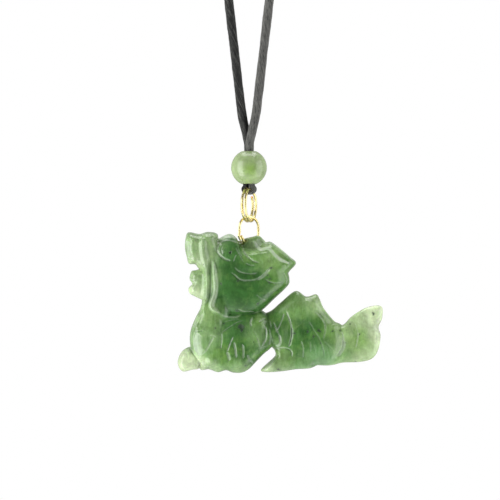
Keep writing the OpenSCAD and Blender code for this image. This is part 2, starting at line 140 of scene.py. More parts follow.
# What is carved into both faces: kind, width and height in millimetres, paleness of its worked face and of
# the painted highlight on it, and its route. A rib is raised and round, and its pale back is a painted
# highlight. A cut is a groove with one wide ground wall, on its left as the route runs; the wall is paled
# as a ground face and as a painted highlight.
STROKES = [
    # lips and jaw
    ("rib", 1.15, 0.46, 0.12, [
        (12.3, 66.2), (12.6, 63.9), (12.9, 59.1), (13.8, 53.9), (14.2, 48.6), (14, 43), (13.6, 37.4),
        (12.7, 33.7)]),
    ("rib", 0.8, 0.32, 0.15, [(13.5, 36.4), (12.7, 33.7), (11.2, 30), (9.5, 25.6), (8.6, 22.5)]),
    ("rib", 0.85, 0.46, 0.3, [
        (17.55, 55.6), (18.1, 48.6), (18.7, 43), (18.3, 38.9), (17.2, 35.6), (16.8, 33), (18.3, 31.1),
        (20.5, 29.6)]),
    ("rib", 0.42, 0.14, 0.24, [
        (18.3, 31.1), (20.5, 29.6), (23.15, 28.1), (25.8, 27.6), (28.4, 27.6), (31, 28.5)]),
    ("cut", 1, 0.26, 0.5, [(4.3, 64.8), (4.7, 61.6), (5.2, 58.6), (5.6, 56.9)]),
    ("cut", 0.26, 0.18, 0.4, [(4.6, 56.6), (6.6, 55.8), (8.2, 56.2)]),
    ("cut", 0.26, 0.18, 0.35, [(5.9, 45.9), (8, 45.3), (10.2, 45.8)]),
    ("cut", 0.24, 0.18, 0.35, [(6.9, 48.8), (8.4, 48.4), (9.8, 49)]),
    ("cut", 0.24, 0.16, 0.35, [(7.1, 43.7), (8.4, 44.4), (9.6, 44.2)]),
    ("rib", 0.45, 0.25, 0.25, [(11.6, 67.6), (14, 67.9), (16.6, 67.5), (18.7, 66.4)]),
    ("cut", 0.28, 0.2, 0.3, [(17.6, 65.8), (18.9, 64.2), (20.6, 63.6), (21.6, 62.3)]),
    # eye and brow
    ("cut", 0.46, 0.28, 0.32, [
        (20.4, 63.2), (19.3, 61), (19.5, 58.6), (21.2, 56.7), (23.6, 55.2), (26, 54.9)]),
    ("cut", 0.24, 0.12, 0.26, [(21.7, 61.8), (21.3, 59.8), (21.9, 57.9)]),
    ("cut", 0.28, 0.26, 0.35, [(29.9, 63.4), (28, 64.5), (25.4, 65), (22.4, 64.8), (19.6, 63.7)]),
    ("cut", 0.24, 0.2, 0.25, [(28.3, 61.4), (29.3, 59.2), (30.6, 56.8), (32.1, 53.9)]),
    ("cut", 0.22, 0.16, 0.4, [(28.6, 58), (27.7, 56.2), (27.25, 54.6)]),
    ("rib", 0.95, 0.2, 0.95, [(19.9, 65), (22.2, 66.5), (24.8, 67.1), (27.6, 66.8), (30.6, 65.4)]),
    # horn, mane and curls
    ("cut", 0.34, 0.3, 0.28, [
        (31.7, 63), (31.9, 59.8), (33.2, 57.6), (35.1, 55.7), (37.3, 54.4), (39.9, 53.8)]),
    ("rib", 0.66, 0.4, 0.88, [
        (37.2, 64.9), (38.6, 62.1), (40.7, 60.4), (44.3, 60.8), (46.9, 58.1), (49.7, 55.6), (54.6, 53.4)]),
    ("cut", 0.75, 0.08, 0.5, [(38.6, 65.6), (39.2, 63.8), (40.4, 62)]),
    ("cut", 0.26, 0.24, 0.16, [
        (39, 65.8), (39.9, 64.1), (42.6, 62.4), (45.4, 62.6), (48.6, 60.4), (52, 57.6), (55.4, 54.6)]),
    ("rib", 0.34, 0.1, 0.5, [
        (40.6, 65.4), (43, 63.4), (45.8, 63.3), (50.4, 60.2), (54, 57.1), (56.8, 54.4)]),
    ("cut", 0.26, 0.2, 0.28, [(27.6, 51.8), (29.1, 50.1), (31.35, 49), (34.3, 48.4), (37, 48.4), (39, 49)]),
    ("cut", 0.34, 0.28, 0.24, [
        (25.8, 49.4), (27.6, 47.9), (29.3, 46.2), (31.7, 45.2), (34.7, 45.1), (37.7, 45.5), (40.3, 46.8),
        (42.5, 48.6), (44.4, 50.5), (45.6, 51.9)]),
    ("cut", 0.62, 0.16, 0.46, [(38.8, 45.5), (41.2, 46.7), (43.2, 48.3), (45, 50.8)]),
    ("cut", 0.26, 0.2, 0.25, [(33, 53.6), (35.4, 52.6), (37.6, 52.4)]),
    ("cut", 0.28, 0.2, 0.22, [(42.3, 46), (44.8, 44.5), (48.5, 43.8), (51.2, 44.6)]),
    ("cut", 0.24, 0.2, 0.3, [(52.9, 43.4), (53.4, 45.4), (52.6, 47.8), (51.6, 49.4)]),
    ("cut", 0.22, 0.16, 0.2, [(38.2, 38.4), (40.3, 36.7), (42.9, 35.8)]),
    ("cut", 0.2, 0.14, 0.3, [(29.3, 31.6), (31.7, 30.4), (34.6, 30.3), (37.6, 29.9)]),
    # chest, pearl and paw
    ("cut", 0.26, 0.22, 0.1, [(12.9, 21.4), (10, 21), (6.7, 21.2)]),
    ("cut", 1.7, 0.34, 0.34, [(9.2, 20.4), (8.6, 17), (9, 12.6), (10.8, 8.4)]),
    ("cut", 0.44, 0.2, 0.3, [(9.7, 28.2), (8.6, 25.4), (7.9, 22.3)]),
    ("cut", 0.6, 0.2, 0.16, [(5.3, 13.2), (6.9, 10.8), (9, 8.2), (11.4, 6), (13.6, 4.2), (16, 2.6)]),
    # foreleg
    ("cut", 0.4, 0.22, 0.28, [(17.6, 18.2), (16.9, 17), (15.6, 14.8), (14.2, 12.2), (11.6, 9.3)]),
    ("cut", 0.34, 0.12, 0.22, [(15.8, 18.5), (17.2, 18.4), (18.9, 17.7)]),
    ("cut", 0.22, 0.2, 0.32, [(21.6, 19.8), (21.5, 16.4), (21.1, 12.2)]),
    ("cut", 0.24, 0.24, 0.48, [(27, 18.2), (25.6, 15), (24, 10.6)]),
    ("cut", 0.6, 0.2, 0.38, [(23.9, 10.6), (24.6, 8.8), (25.2, 6.4)]),
    ("cut", 0.4, 0.2, 0.42, [(27.4, 15.6), (28.1, 11.6), (28.5, 7.6)]),
    ("cut", 0.36, 0.2, 0.34, [(31.5, 14.6), (31.9, 11.4), (31.9, 7.4)]),
    ("cut", 0.4, 0.18, 0.25, [(33.9, 9.2), (35, 7), (36.6, 4.5)]),
    ("cut", 0.24, 0.2, 0.18, [(21.4, 19.8), (25.9, 22.9), (29.2, 24.9), (32.2, 25.9)]),
    ("cut", 0.24, 0.18, 0.15, [(22.4, 24.8), (26, 25.9), (30.4, 26.6)]),
    ("cut", 0.34, 0.22, 0.42, [(36.2, 27.4), (35.4, 25.2), (35.9, 22.9)]),
    ("cut", 0.24, 0.16, 0.35, [(43, 27.3), (41.2, 26.2), (39.4, 25.2)]),
    # scales of the body
    ("cut", 0.3, 0.16, 0.22, [(37, 21), (38.2, 18.6), (39.4, 15.4), (40.5, 12)]),
    ("cut", 0.26, 0.22, 0.48, [(41.8, 23.8), (42.9, 21.4), (42.9, 18), (41.9, 14.7), (40.5, 12.2)]),
    ("cut", 0.24, 0.22, 0.34, [
        (46.4, 25.2), (47.2, 23.6), (48, 21.7), (49.2, 18.6), (49.7, 15.9), (48.6, 14)]),
    ("cut", 0.5, 0.14, 0.46, [(49.1, 19), (49.8, 16), (49.2, 14.2), (47.6, 13.6)]),
    ("cut", 0.24, 0.2, 0.4, [(51.8, 29.6), (50.6, 26), (49.2, 22.8), (48.3, 21.6)]),
    ("cut", 0.26, 0.26, 0.46, [
        (52.5, 31), (53.6, 28), (54.9, 24.4), (55.4, 20.8), (55.2, 17.2), (54, 12.8)]),
    ("cut", 0.46, 0.14, 0.46, [(55.4, 22.6), (55.5, 19.4), (54.8, 15.8), (54, 12.8)]),
    ("cut", 0.3, 0.22, 0.3, [(47.5, 12.3), (50.8, 12.3), (53.9, 11.8), (55.4, 10.2), (55.5, 8)]),
    ("cut", 0.46, 0.2, 0.25, [(48.6, 9.4), (46.6, 6.8), (43.9, 3.6), (41.9, 1.4)]),
    # back
    ("rib", 0.5, 0.1, 0, [(55.4, 34.7), (60.3, 35.4), (65.2, 34.4), (68.6, 33.1)]),
    ("cut", 0.34, 0.16, 0.24, [(66.5, 30.4), (69.2, 28), (71.2, 25), (71.8, 21.4), (70.6, 16.4)]),
    ("cut", 0.26, 0.18, 0.16, [(63.8, 25.4), (66, 21.2), (69, 16.4), (70.7, 11.6), (71.5, 7.4)]),
    ("cut", 0.22, 0.12, 0.14, [(71, 15.8), (75.2, 11.6), (77.4, 9.4)]),
    ("cut", 0.24, 0.16, 0.4, [(60.1, 15.8), (61, 12), (60.9, 7.6)]),
    ("cut", 0.22, 0.12, 0.22, [(64.3, 15.7), (64.6, 13), (64.5, 10.4)]),
    ("cut", 0.22, 0.12, 0.1, [(66, 14), (66.9, 11), (67.3, 7.6)]),
    ("cut", 0.2, 0.1, 0.06, [(56.6, 20.8), (59.6, 23.8), (62.4, 26.6)]),
    # tail
    ("cut", 0.26, 0.2, 0.5, [(79.4, 20.4), (80.3, 18.4), (80.7, 15.6)]),
    ("cut", 0.85, 0.3, 0.5, [(80.3, 16.4), (80.2, 13.6), (79, 10.9), (77.2, 8.4)]),
    ("cut", 0.24, 0.16, 0.46, [(86.2, 24.4), (87.7, 19.6), (87.4, 16), (86.6, 12)]),
    ("cut", 0.26, 0.14, 0.3, [(99.4, 24.4), (97.6, 22.2), (98.2, 19.6)]),
]
# Drilled pits: across, up, radius and depth in millimetres
PITS = [(25.8, 58.9, 0.34, 0.35), (31, 22.9, 0.6, 0.16)]
# Dark specks in the stone, and painted shade in the two drilled pits: across, up, radius in millimetres
SPECKS_AND_PIT_SHADE = [
    (45.5, 51.4, 0.28), (43.85, 47.9, 0.22), (44.8, 46.2, 0.26), (29.5, 45.1, 0.26), (21.3, 43.8, 0.26),
    (29, 30.7, 0.28), (33.1, 3.9, 0.24), (49.1, 1.9, 0.34), (56.8, 19.6, 0.3), (18.55, 22.3, 0.2),
    (95.4, 29, 0.34), (88.6, 19, 0.2), (79.2, 20.8, 0.24), (75.4, 20.7, 0.26), (68.7, 20.8, 0.42),
    (63.3, 20.3, 0.3), (66.2, 18, 0.34), (39.1, 34.2, 0.26), (86.9, 5.3, 0.24), (69.5, 14.8, 0.18),
    (25.8, 58.9, 0.36), (30.9, 23.2, 0.68), (31.2, 21.6, 0.48), (44.6, 44.2, 0.2), (22.6, 24.4, 0.22),
]
# Tones of the stone: across, up, reach, and the shares of deep, pale, yellow and blue green
TONES = [
    (7, 63, 5, 0, 0.33, 0.15, 0.05), (16, 62, 5, 0, 0.36, 0.25, 0.05), (9, 54, 3, 0, 0.55, 0.1, 0),
    (8, 46, 3.5, 0.15, 0.42, 0.05, 0.05), (8, 40, 3.5, 0, 0.85, 0.1, 0), (15.5, 45, 4, 0, 0.3, 0.2, 0),
    (24.5, 60, 4.5, 0.75, 0, 0, 0.2), (28, 39, 9, 1, 0, 0, 0.15), (35, 33, 7, 0.95, 0, 0, 0.1),
    (36, 49, 5, 0.9, 0, 0, 0.2), (38, 58, 5, 0.15, 0.05, 0.45, 0), (45, 55.5, 5, 0.05, 0.2, 0.6, 0),
    (52, 49, 5, 0.35, 0, 0.4, 0), (47, 41, 5, 0.7, 0, 0.1, 0), (43, 36, 4, 0.8, 0, 0, 0),
    # the row at 37.2, 62.4 is painted light that lightens the shaded hollow right of the hole
    (39.3, 26.4, 2.2, 0, 0.1, 1, 0), (37.2, 62.4, 2.8, 0, 0.6, 0.1, 0.2), (36, 64.5, 3, 0.1, 0.2, 0.3, 0),
    (16, 28, 5, 0, 0.2, 0.6, 0), (10, 15, 5, 0.05, 0.22, 0.1, 0.1), (17, 20, 5, 0, 0.2, 0.15, 0.1),
    (27, 23, 7, 0.8, 0, 0, 0.25), (38, 19.5, 5, 0.32, 0.18, 0.1, 0), (30, 13, 5, 0.85, 0, 0.2, 0),
    (22, 7, 5, 0.35, 0, 0.5, 0), (36, 9, 5, 0.75, 0, 0.1, 0), (30, 2, 4, 0.2, 0.22, 0.2, 0),
    (17, 3, 3.5, 0, 0.45, 0.15, 0.1), (4, 6, 4, 0, 1, 0.1, 0), (10, 4, 3, 0, 0.8, 0.6, 0),
    (47, 20, 6, 0.85, 0, 0.1, 0), (53, 22, 5, 0.45, 0.05, 0.1, 0.1), (57, 14, 6, 0.55, 0, 0.05, 0.1),
    (58, 32, 6, 0.2, 0.12, 0.35, 0), (66, 35, 4, 0, 0.4, 0.45, 0), (62, 22, 4.5, 1, 0, 0, 0.15),
    (68, 19, 5, 0.7, 0, 0.1, 0.15), (74, 19, 5, 0.3, 0.05, 0.45, 0), (69, 9, 6, 0.15, 0.15, 0, 0.9),
    (76, 25, 3, 0.1, 0.35, 0.3, 0), (52, 9, 4.5, 0, 0.2, 0.65, 0), (50, 2, 4, 0, 0.3, 0.25, 0.1),
    (43, 2, 3, 0, 0.7, 0.1, 0), (60, 5, 5, 0.25, 0.15, 0.1, 0.35), (58, 12, 5, 0.55, 0, 0.15, 0.1),
    (80, 10, 5, 0, 0.2, 0.35, 0.15), (82, 18, 5, 0, 0.32, 0.65, 0), (88, 16, 5, 0, 0.12, 1, 0),
    (88, 27, 4, 0, 0.6, 0.55, 0), (96, 30, 4, 0, 1, 0.35, 0), (97, 19, 4, 0, 0.95, 0.35, 0),
    (92, 8, 5, 0, 0.6, 0.7, 0),
]


# Sizes and colours
def light(red, green, blue):
    """Linear colour of a display colour given in 0 to 255."""
    share = np.array([red, green, blue]) / 255
    return tuple(np.where(share <= 0.04045, share / 12.92, ((share + 0.055) / 1.055) ** 2.4).tolist())


def shade(name, description, display):
    """A colour property whose default is a display colour."""
    return FloatVectorProperty(name=name, description=description, default=light(*display), min=0, max=1,
                               size=3, subtype="COLOR")


def length(name, description, millimetres):
    """A length property whose default is given in millimetres."""
    return FloatProperty(name=name, description=description, default=millimetres * MM, min=0, precision=5,
                         unit="LENGTH")


def bearing(name, description, degrees):
    """An angle property whose default is given in degrees."""
    return FloatProperty(name=name, description=description, default=math.radians(degrees), subtype="ANGLE")


def amount(name, description, default, unit="NONE"):
    """A plain property that isn't below zero."""
    return FloatProperty(name=name, description=description, default=default, min=0, unit=unit)


class DragonSettings(bpy.types.PropertyGroup):
    width: length("Width", "From the pearl to the tail", 45.8)
    height: length("Height", "From the paws to the muzzle", 31.5)
    thickness: length("Thickness", "At the cheek", 10)
    bore: length("Hole", "Diameter of the hole through the crest", 1.1)
    hollow: length("Hollow", "Radius of the hollow at each end of the hole", 1.45)
    mesh_step: length("Mesh step", "Distance between two points of the surface", 0.179)
    relief: amount("Relief", "Share of the carved folds' full height", 1)


class JadeSettings(bpy.types.PropertyGroup):
    leaf: shade("Leaf green", "The dragon's main green", (90, 139, 66))
    deep: shade("Deep green", "Where the stone is thickest", (50, 95, 37))
    pale: shade("Pale green", "Where the light comes through thin stone", (201, 218, 175))
    yellow: shade("Yellow green", "Warm clouds in the stone", (120, 162, 76))
    blue: shade("Blue green", "Cool clouds in the stone", (78, 136, 73))
    # the walls of the cuts are ground and paler, and the same colour is a painted highlight on ribs and cut
    # walls
    ground_and_glint: shade("Ground face and glint", "The walls of the cuts, left less polished", (198, 214, 190))
    # dark grains in the stone, and painted shade in the drilled eye and pit
    speck_and_pit_shade: shade("Speck and pit shade", "Dark grains in the stone", (34, 54, 34))
    # painted reflection of the gold ring, laid on the stone beside the hole
    gold_reflection: shade("Gold reflection", "The plate's yellow, rubbed in at the hole", (150, 122, 52))
    bead: shade("Bead", "The bead's main green", (158, 179, 128))
    bead_core: shade("Bead core", "The bead's warmer middle", (144, 179, 92))


class RingSettings(bpy.types.PropertyGroup):
    link_wire: length("Oval ring's wire", "Diameter of the wire", 0.55)
    link_width: length("Oval ring's width", "Outer width", 5.45)
    link_turn: bearing("Oval ring's turn", "Out of the carving's plane", 31)
    lap_shift: length("Oval ring's lap", "How far each end is out of line", 0.29)
    split_wire: length("Split ring's wire", "Diameter of the wire", 0.58)
    coil_gap: length("Coil gap", "Gap between the two turns", 0.20)
    split_turn: bearing("Split ring's turn", "Out of the side view", 19)
    gold: shade("Gold", "The plate's colour", (252, 241, 180))
    copper: shade("Cut ends", "Bare metal at the wire's ends", (214, 142, 74))


class BeadSettings(bpy.types.PropertyGroup):
    diameter: length("Diameter", "Of the bead", 8)
    hole: length("Hole", "Diameter of the bead's hole", 2.8)
    edge: length("Edge", "Rounding of the hole's mouth", 0.22)


class CordSettings(bpy.types.PropertyGroup):
    diameter: length("Diameter", "Of the cord", 2)
    fit: length("Fit", "Gap to what the cord passes through", 0.1)
    cross: bearing("Crossing", "Turn of the two strands where they leave the bead", 80)
    fibres: IntProperty(name="Fibres", description="Raised fibres round the cord", default=13, min=3)
    sleeve_length: length("Sleeve length", "Of the sleeve at the loop's top", 8)
    sleeve_diameter: length("Sleeve diameter", "Of the sleeve at the loop's top", 3.4)
    black: shade("Black", "The cord's dark fibres", (16, 17, 18))
    grey: shade("Grey", "The cord's lighter fibres", (120, 120, 116))


class StageSettings(bpy.types.PropertyGroup):
    floor_drop: length("Floor", "How far the floor lies below the origin", 620)
    distance: length("Camera distance", "From the carving's middle plane", 310.4)
    lens: amount("Lens", "Focal length in millimetres", 100)
    side_power: amount("Side lights", "Power of the left box", 2.2, "POWER")
    top_power: amount("Top light", "Power of the top box", 1.25, "POWER")
    surround: amount("Surround", "Brightness of the white room behind the piece", 0.48)
    front: amount("Front", "Brightness of the room on the camera's side", 0.12)


# Curves and meshes
def cubic(before, start, end, after, way):
    """Catmull-Rom: the cubic that leaves start along end - before and reaches end along after - start."""
    return 0.5 * (2 * start + (end - before) * way + (2 * before - 5 * start + 4 * end - after) * way ** 2
                  + (3 * start - before - 3 * end + after) * way ** 3)


def closed_curve(points, steps):
    """Smooth closed curve through the points, each stretch cut into so many steps."""
    start = np.asarray(points, float)
    parts = [np.roll(start, shift, axis=0)[:, None] for shift in (1, 0, -1, -2)]
    way = (np.arange(steps) / steps)[None, :, None]
    return cubic(*parts, way).reshape(-1, start.shape[1])


def open_curve(points, steps):
    """Smooth open curve through the points, each stretch cut into so many steps."""
    inner = np.asarray(points, float)
    full = np.vstack([2 * inner[0] - inner[1], inner, 2 * inner[-1] - inner[-2]])
    way = (np.arange(steps) / steps)[None, :, None]
    body = cubic(full[:-3, None], full[1:-2, None], full[2:-1, None], full[3:, None], way)
    return np.vstack([body.reshape(-1, inner.shape[1]), inner[-1]])


def smooth_step(value):
    """0 below 0, 1 above 1, and 3v^2 - 2v^3 between."""
    v = np.clip(value, 0, 1)
    return v * v * (3 - 2 * v)


def unit(vectors):
    """Vectors brought to length one."""
    return vectors / np.maximum(np.linalg.norm(vectors, axis=-1, keepdims=True), 1e-12)


def turned(points, angle):
    """Points turned about the Z axis, from +X towards +Y."""
    c, s = math.cos(angle), math.sin(angle)
    return points @ np.array([[c, s, 0], [-s, c, 0], [0, 0, 1]])


def lifted(points, node):
    """Points made round the origin, lifted to the middle of a node's box."""
    low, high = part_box(node)
    return points + [0, 0, (low.z + high.z) / 2]


def grid_faces(rows, columns, close_rows=False):
    """Quads of a grid of points, wrapped round its columns and, where close_rows is set, its rows."""
    r0, c0 = (v.ravel() for v in np.indices((rows if close_rows else rows - 1, columns)))
    r1, c1 = (r0 + 1) % rows, (c0 + 1) % columns
    return np.stack([r0 * columns + c0, r0 * columns + c1, r1 * columns + c1, r1 * columns + c0], axis=1)


def circle(sides):
    """Angles of a round of points."""
    return np.arange(sides) * 2 * np.pi / sides


def sweep(middles, across, deep, profile_across, profile_deep):
    """Profile carried along an open path: point = middle + across * profile_across + deep * profile_deep.

    Each end is closed by a fan to the path's own end. Returns the points, and the quads and the fans."""
    rows, columns = profile_across.shape
    points = (middles[:, None] + across[:, None] * profile_across[..., None]
              + deep[:, None] * profile_deep[..., None]).reshape(-1, 3)
    here = np.arange(columns)
    there = (here + 1) % columns
    last = (rows - 1) * columns
    first_pole, last_pole = len(points), len(points) + 1
    fans = np.vstack([
        np.stack([np.full(columns, first_pole), there, here], axis=1),
        np.stack([np.full(columns, last_pole), last + here, last + there], axis=1),
    ])
    return np.vstack([points, middles[0], middles[-1]]), [grid_faces(rows, columns), fans]


def lathe(profile, sides):
    """Closed profile (r, h) turned about the Z axis: x = r cos a, y = r sin a, z = h."""
    radius, height = profile.T[..., None]
    x, y = radius * np.cos(circle(sides)), radius * np.sin(circle(sides))
    points = np.stack([x, y, np.broadcast_to(height, x.shape)], axis=-1)
    return points.reshape(-1, 3), [grid_faces(len(profile), sides, close_rows=True)]


def volume(points, faces):
    """Signed volume inside the faces: the sum of the pyramids from the origin to each triangle of a fan."""
    total = 0.0
    for k in range(1, faces.shape[1] - 1):
        a, b, c = points[faces[:, 0]], points[faces[:, k]], points[faces[:, k + 1]]
        total += float(np.einsum("ij,ij->i", a, np.cross(b, c)).sum()) / 6
    return total


def mask_mark(mask):
    """A colour attribute that holds one mask in red, green and blue."""
    return "FLOAT_COLOR", np.stack([mask, mask, mask, np.ones_like(mask)], axis=1)


def link(name, data):
    """A new object in the scene."""
    made = bpy.data.objects.new(name, data)
    bpy.context.scene.collection.objects.link(made)
    return made


def add_piece(name, points, faces, body, nodes, material, marks):
    """Put points in metres and faces into a mesh whose object sits at the origin and rides on a body."""
    if sum(volume(points, part) for part in faces) < 0:
        faces = [part[:, ::-1] for part in faces]
    mesh = bpy.data.meshes.new(name)
    mesh.from_pydata(points.tolist(), [], [face for part in faces for face in part.tolist()])
    mesh.shade_smooth()
    for mark, (kind, values) in marks.items():
        attribute = mesh.attributes.new(mark, kind, "POINT")
        channel = "color" if kind == "FLOAT_COLOR" else "vector"
        attribute.data.foreach_set(channel, values.ravel().astype(np.float32))
    mesh.materials.append(material)
    if mesh.validate(verbose=False):
        raise RuntimeError(f"{name} has faulty faces")
    piece = link(name, mesh)
    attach(piece, body)
    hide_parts(*nodes)


# The dragon
# Power of the domes: a high one gives a flat face with a tight round edge
DOME_POWER = 5
# Past this share of a form's reach its square falls no further
DOME_REACH = 1.6
# How steep the fields of the hole and its hollows are, to match the stone's own
BORE_SLOPE = 5
# Where each hollow sits along the hole, as a share of the oval ring's radius
HOLLOW_OUT = 0.86


def dome(x, z, outline, middle, share, half):
    """Square of a form's half thickness: (share * half)^2 * (1 - s^5), where s runs from 0 at the form's
    middle to 1 on its outline; it is negative outside."""
    rim = closed_curve(outline, 12) - middle
    turn = np.arctan2(rim[:, 1], rim[:, 0])
    order = np.argsort(turn)
    here = np.arctan2(z - middle[1], x - middle[0])
    reach = np.interp(here, turn[order], np.hypot(rim[:, 0], rim[:, 1])[order], period=2 * np.pi)
    s = np.hypot(x - middle[0], z - middle[1]) / reach
    return (share * half) ** 2 * (1 - np.minimum(s, DOME_REACH) ** DOME_POWER)


def blended(a, b, soft):
    """The larger of a and b, rounded where they differ by less than soft."""
    h = np.clip(0.5 + 0.5 * (a - b) / soft, 0, 1)
    return b + (a - b) * h + soft * h * (1 - h)


def near_route(x, z, route):
    """Distance to the nearest point of a route, with a plus on its left, and the share of the way there."""
    start, step = route[:-1], np.diff(route, axis=0)
    px, pz = x[..., None] - start[:, 0], z[..., None] - start[:, 1]
    way = np.clip((px * step[:, 0] + pz * step[:, 1]) / (step ** 2).sum(axis=1), 0, 1)
    gap = np.hypot(px - way * step[:, 0], pz - way * step[:, 1])
    best = gap.argmin(axis=-1)[..., None]
    left = np.sign(step[:, 0] * pz - step[:, 1] * px)
    nearest = [np.take_along_axis(values, best, axis=-1)[..., 0] for values in (gap, left, way)]
    return nearest[0] * nearest[1], (nearest[2] + best[..., 0]) / len(step)


def fading(way, share):
    """1 along a stroke and 0 at both of its ends, over a share of its length."""
    return smooth_step(way / share) * smooth_step((1 - way) / share)


class Carving:
    """The dragon's half thickness over its drawing, worked out on a fine flat grid in millimetres."""

    STEP = 0.06     # between two points of the grid
    MARGIN = 1.2    # of the grid past the drawing
    SOFT = 1.6      # how far two forms' squares run into each other
    EDGE = 1.3      # half thickness below which the relief dies away
    WORN = 0.5      # half thickness below which no worked face shows
    LEAST = 0.3     # share of the half thickness that no cut goes below
    TAPER = 0.16    # share of a stroke's length over which it widens from either end
    NARROW = 0.45   # width of a stroke's ends, as a share of its own
    FADE = 0.05     # share of a stroke's length over which it grows deep from either end
    WALL = 0.3      # width of a cut's steep wall, as a share of the cut's

    def __init__(self, settings):
        size = np.array([settings.width, settings.height]) / MM
        self.half = settings.thickness / MM / 2
        rims = np.vstack([closed_curve(outline, 2) for _, _, outline in FORMS.values()])
        self.unit = size / (rims.max(axis=0) - rims.min(axis=0))
        low = (rims.min(axis=0) - BORE_AT) * self.unit - self.MARGIN
        high = (rims.max(axis=0) - BORE_AT) * self.unit + self.MARGIN
        self.x = np.arange(low[0], high[0], self.STEP)
        self.z = np.arange(low[1], high[1], self.STEP)
        x, z = np.meshgrid(self.x, self.z, indexing="ij")
        across, up = self.drawn(x, z)
        square = None
        for share, middle, outline in FORMS.values():
            form = dome(across, up, outline, middle, share, self.half)
            square = form if square is None else blended(form, square, self.SOFT)
        self.bare = square
        rise = np.zeros_like(x)
        self.ground_and_glint = np.zeros_like(x)
        for stroke in STROKES:
            self.carve(rise, *stroke)
        self.relief = rise.copy()
        for sx, sz, wide, high, swell in SWELLS:
            q = ((across - sx) / wide) ** 2 + ((up - sz) / high) ** 2
            rise += swell * np.where(q < 1, (1 - q) ** 2, 0)
        for px, pz, radius, depth in PITS:
            q = np.hypot(x - (px - BORE_AT[0]) * self.unit[0], z - (pz - BORE_AT[1]) * self.unit[1]) / radius
            rise -= depth * np.where(q < 1, (1 - q ** 2), 0)
        half = np.sqrt(np.maximum(square, 0))
        face = np.maximum(half + settings.relief * rise * smooth_step(half / self.EDGE), self.LEAST * half)
        self.square = np.where(square > 0, face ** 2, square)
        self.ground_and_glint *= smooth_step(half / self.WORN)

    def drawn(self, x, z):
        """Places in the drawing, across and up, of points in millimetres from the hole."""
        return x / self.unit[0] + BORE_AT[0], z / self.unit[1] + BORE_AT[1]

    def carve(self, rise, kind, width, height, pale, points):
        """Add one stroke to the rise of the face. With q the distance from the route in widths:
        rib: height (1 - q^2)^2; cut: -height (1 - q) on the left and a steep wall on the right. The pale
        mark runs over the rib's back as a painted highlight, or over the cut's left wall as a ground face and
        a painted highlight, with soft edges."""
        route = (open_curve(points, 5) - BORE_AT) * self.unit
        reach = width * 1.1 + 0.2
        i0, i1 = np.searchsorted(self.x, [route[:, 0].min() - reach, route[:, 0].max() + reach])
        k0, k1 = np.searchsorted(self.z, [route[:, 1].min() - reach, route[:, 1].max() + reach])
        x, z = np.meshgrid(self.x[i0:i1], self.z[k0:k1], indexing="ij")
        gap, way = near_route(x, z, route)
        q = gap / (width * (self.NARROW + (1 - self.NARROW) * fading(way, self.TAPER)))
        if kind == "rib":
            change = height * np.where(np.abs(q) < 1, (1 - q ** 2) ** 2, 0)
            face = smooth_step((0.75 - np.abs(q)) / 0.5)
        else:
            wall = np.where(q >= 0, 1 - q, 1 + q / self.WALL)
            change = -height * np.maximum(wall, 0)
            face = smooth_step((1.05 - q) / 0.35) * smooth_step((q + 0.35) / 0.3)
        ends = fading(way, self.FADE)
        rise[i0:i1, k0:k1] += change * ends
        part = self.ground_and_glint[i0:i1, k0:k1]
        np.maximum(part, pale * face * ends, out=part)

    def read(self, field, x, z):
        """Value of a flat field at points, by the straight mean of the four grid values round each."""
        u = np.clip((x - self.x[0]) / self.STEP, 0, len(self.x) - 1.001)
        w = np.clip((z - self.z[0]) / self.STEP, 0, len(self.z) - 1.001)
        i, k = u.astype(int), w.astype(int)
        u, w = u - i, w - k
        return ((1 - u) * (1 - w) * field[i, k] + u * (1 - w) * field[i + 1, k]
                + (1 - u) * w * field[i, k + 1] + u * w * field[i + 1, k + 1])


def stone(carving, settings, rings, x, y, z):
    """Positive inside the stone: square of the half thickness less y^2, cut by the hole and its hollows."""
    turn = rings.link_turn
    radius = (rings.link_width - rings.link_wire) / MM / 2
    out = HOLLOW_OUT * radius
    up = radius - math.sqrt(radius ** 2 - out ** 2)
    along = x * math.cos(turn) + y * math.sin(turn)
    beside = y * math.cos(turn) - x * math.sin(turn)
    body = carving.read(carving.square, x, z) - y ** 2
    bore = BORE_SLOPE * (np.hypot(beside, z) - settings.bore / MM / 2)
    bore = np.maximum(bore, BORE_SLOPE * (np.abs(along) - out))
    to_mouth = np.sqrt((np.abs(along) - out) ** 2 + beside ** 2 + (z - up) ** 2)
    mouths = BORE_SLOPE * (to_mouth - settings.hollow / MM)
    return np.minimum(body, np.minimum(bore, mouths))


def surface_net(values, origin, steps):
    """Closed surface where a field sampled on a box of points changes sign: each cell that it crosses gets
    one point, the mean of its edges' crossings, and each crossed edge joins the four cells round it."""
    inside = values > 0
    cells = np.array(values.shape) - 1
    total, count = np.zeros((cells.prod(), 3)), np.zeros(cells.prod())
    quads = []
    for axis in range(3):
        other = [a for a in range(3) if a != axis]
        low, high = [slice(None)] * 3, [slice(None)] * 3
        low[axis], high[axis] = slice(0, -1), slice(1, None)
        crossed = inside[tuple(low)] != inside[tuple(high)]
        here = np.argwhere(crossed)
        v0, v1 = values[tuple(low)][crossed], values[tuple(high)][crossed]
        place = here.astype(float)
        place[:, axis] += v0 / (v0 - v1)
        ring = []
        for aside in ((0, 0), (1, 0), (1, 1), (0, 1)):
            cell = here.copy()
            cell[:, other] -= aside
            flat = np.ravel_multi_index(cell.T, cells)
            ring.append(flat)
            count += np.bincount(flat, minlength=len(count))
            for k in range(3):
                total[:, k] += np.bincount(flat, weights=place[:, k], minlength=len(count))
        ring = np.stack(ring, axis=1)
        backwards = (v0 > 0) != (axis == 1)
        quads.append(np.where(backwards[:, None], ring, ring[:, ::-1]))
    used = np.flatnonzero(count)
    label = np.full(len(count), -1)
    label[used] = np.arange(len(used))
    return origin + total[used] / count[used, None] * steps, label[np.vstack(quads)]


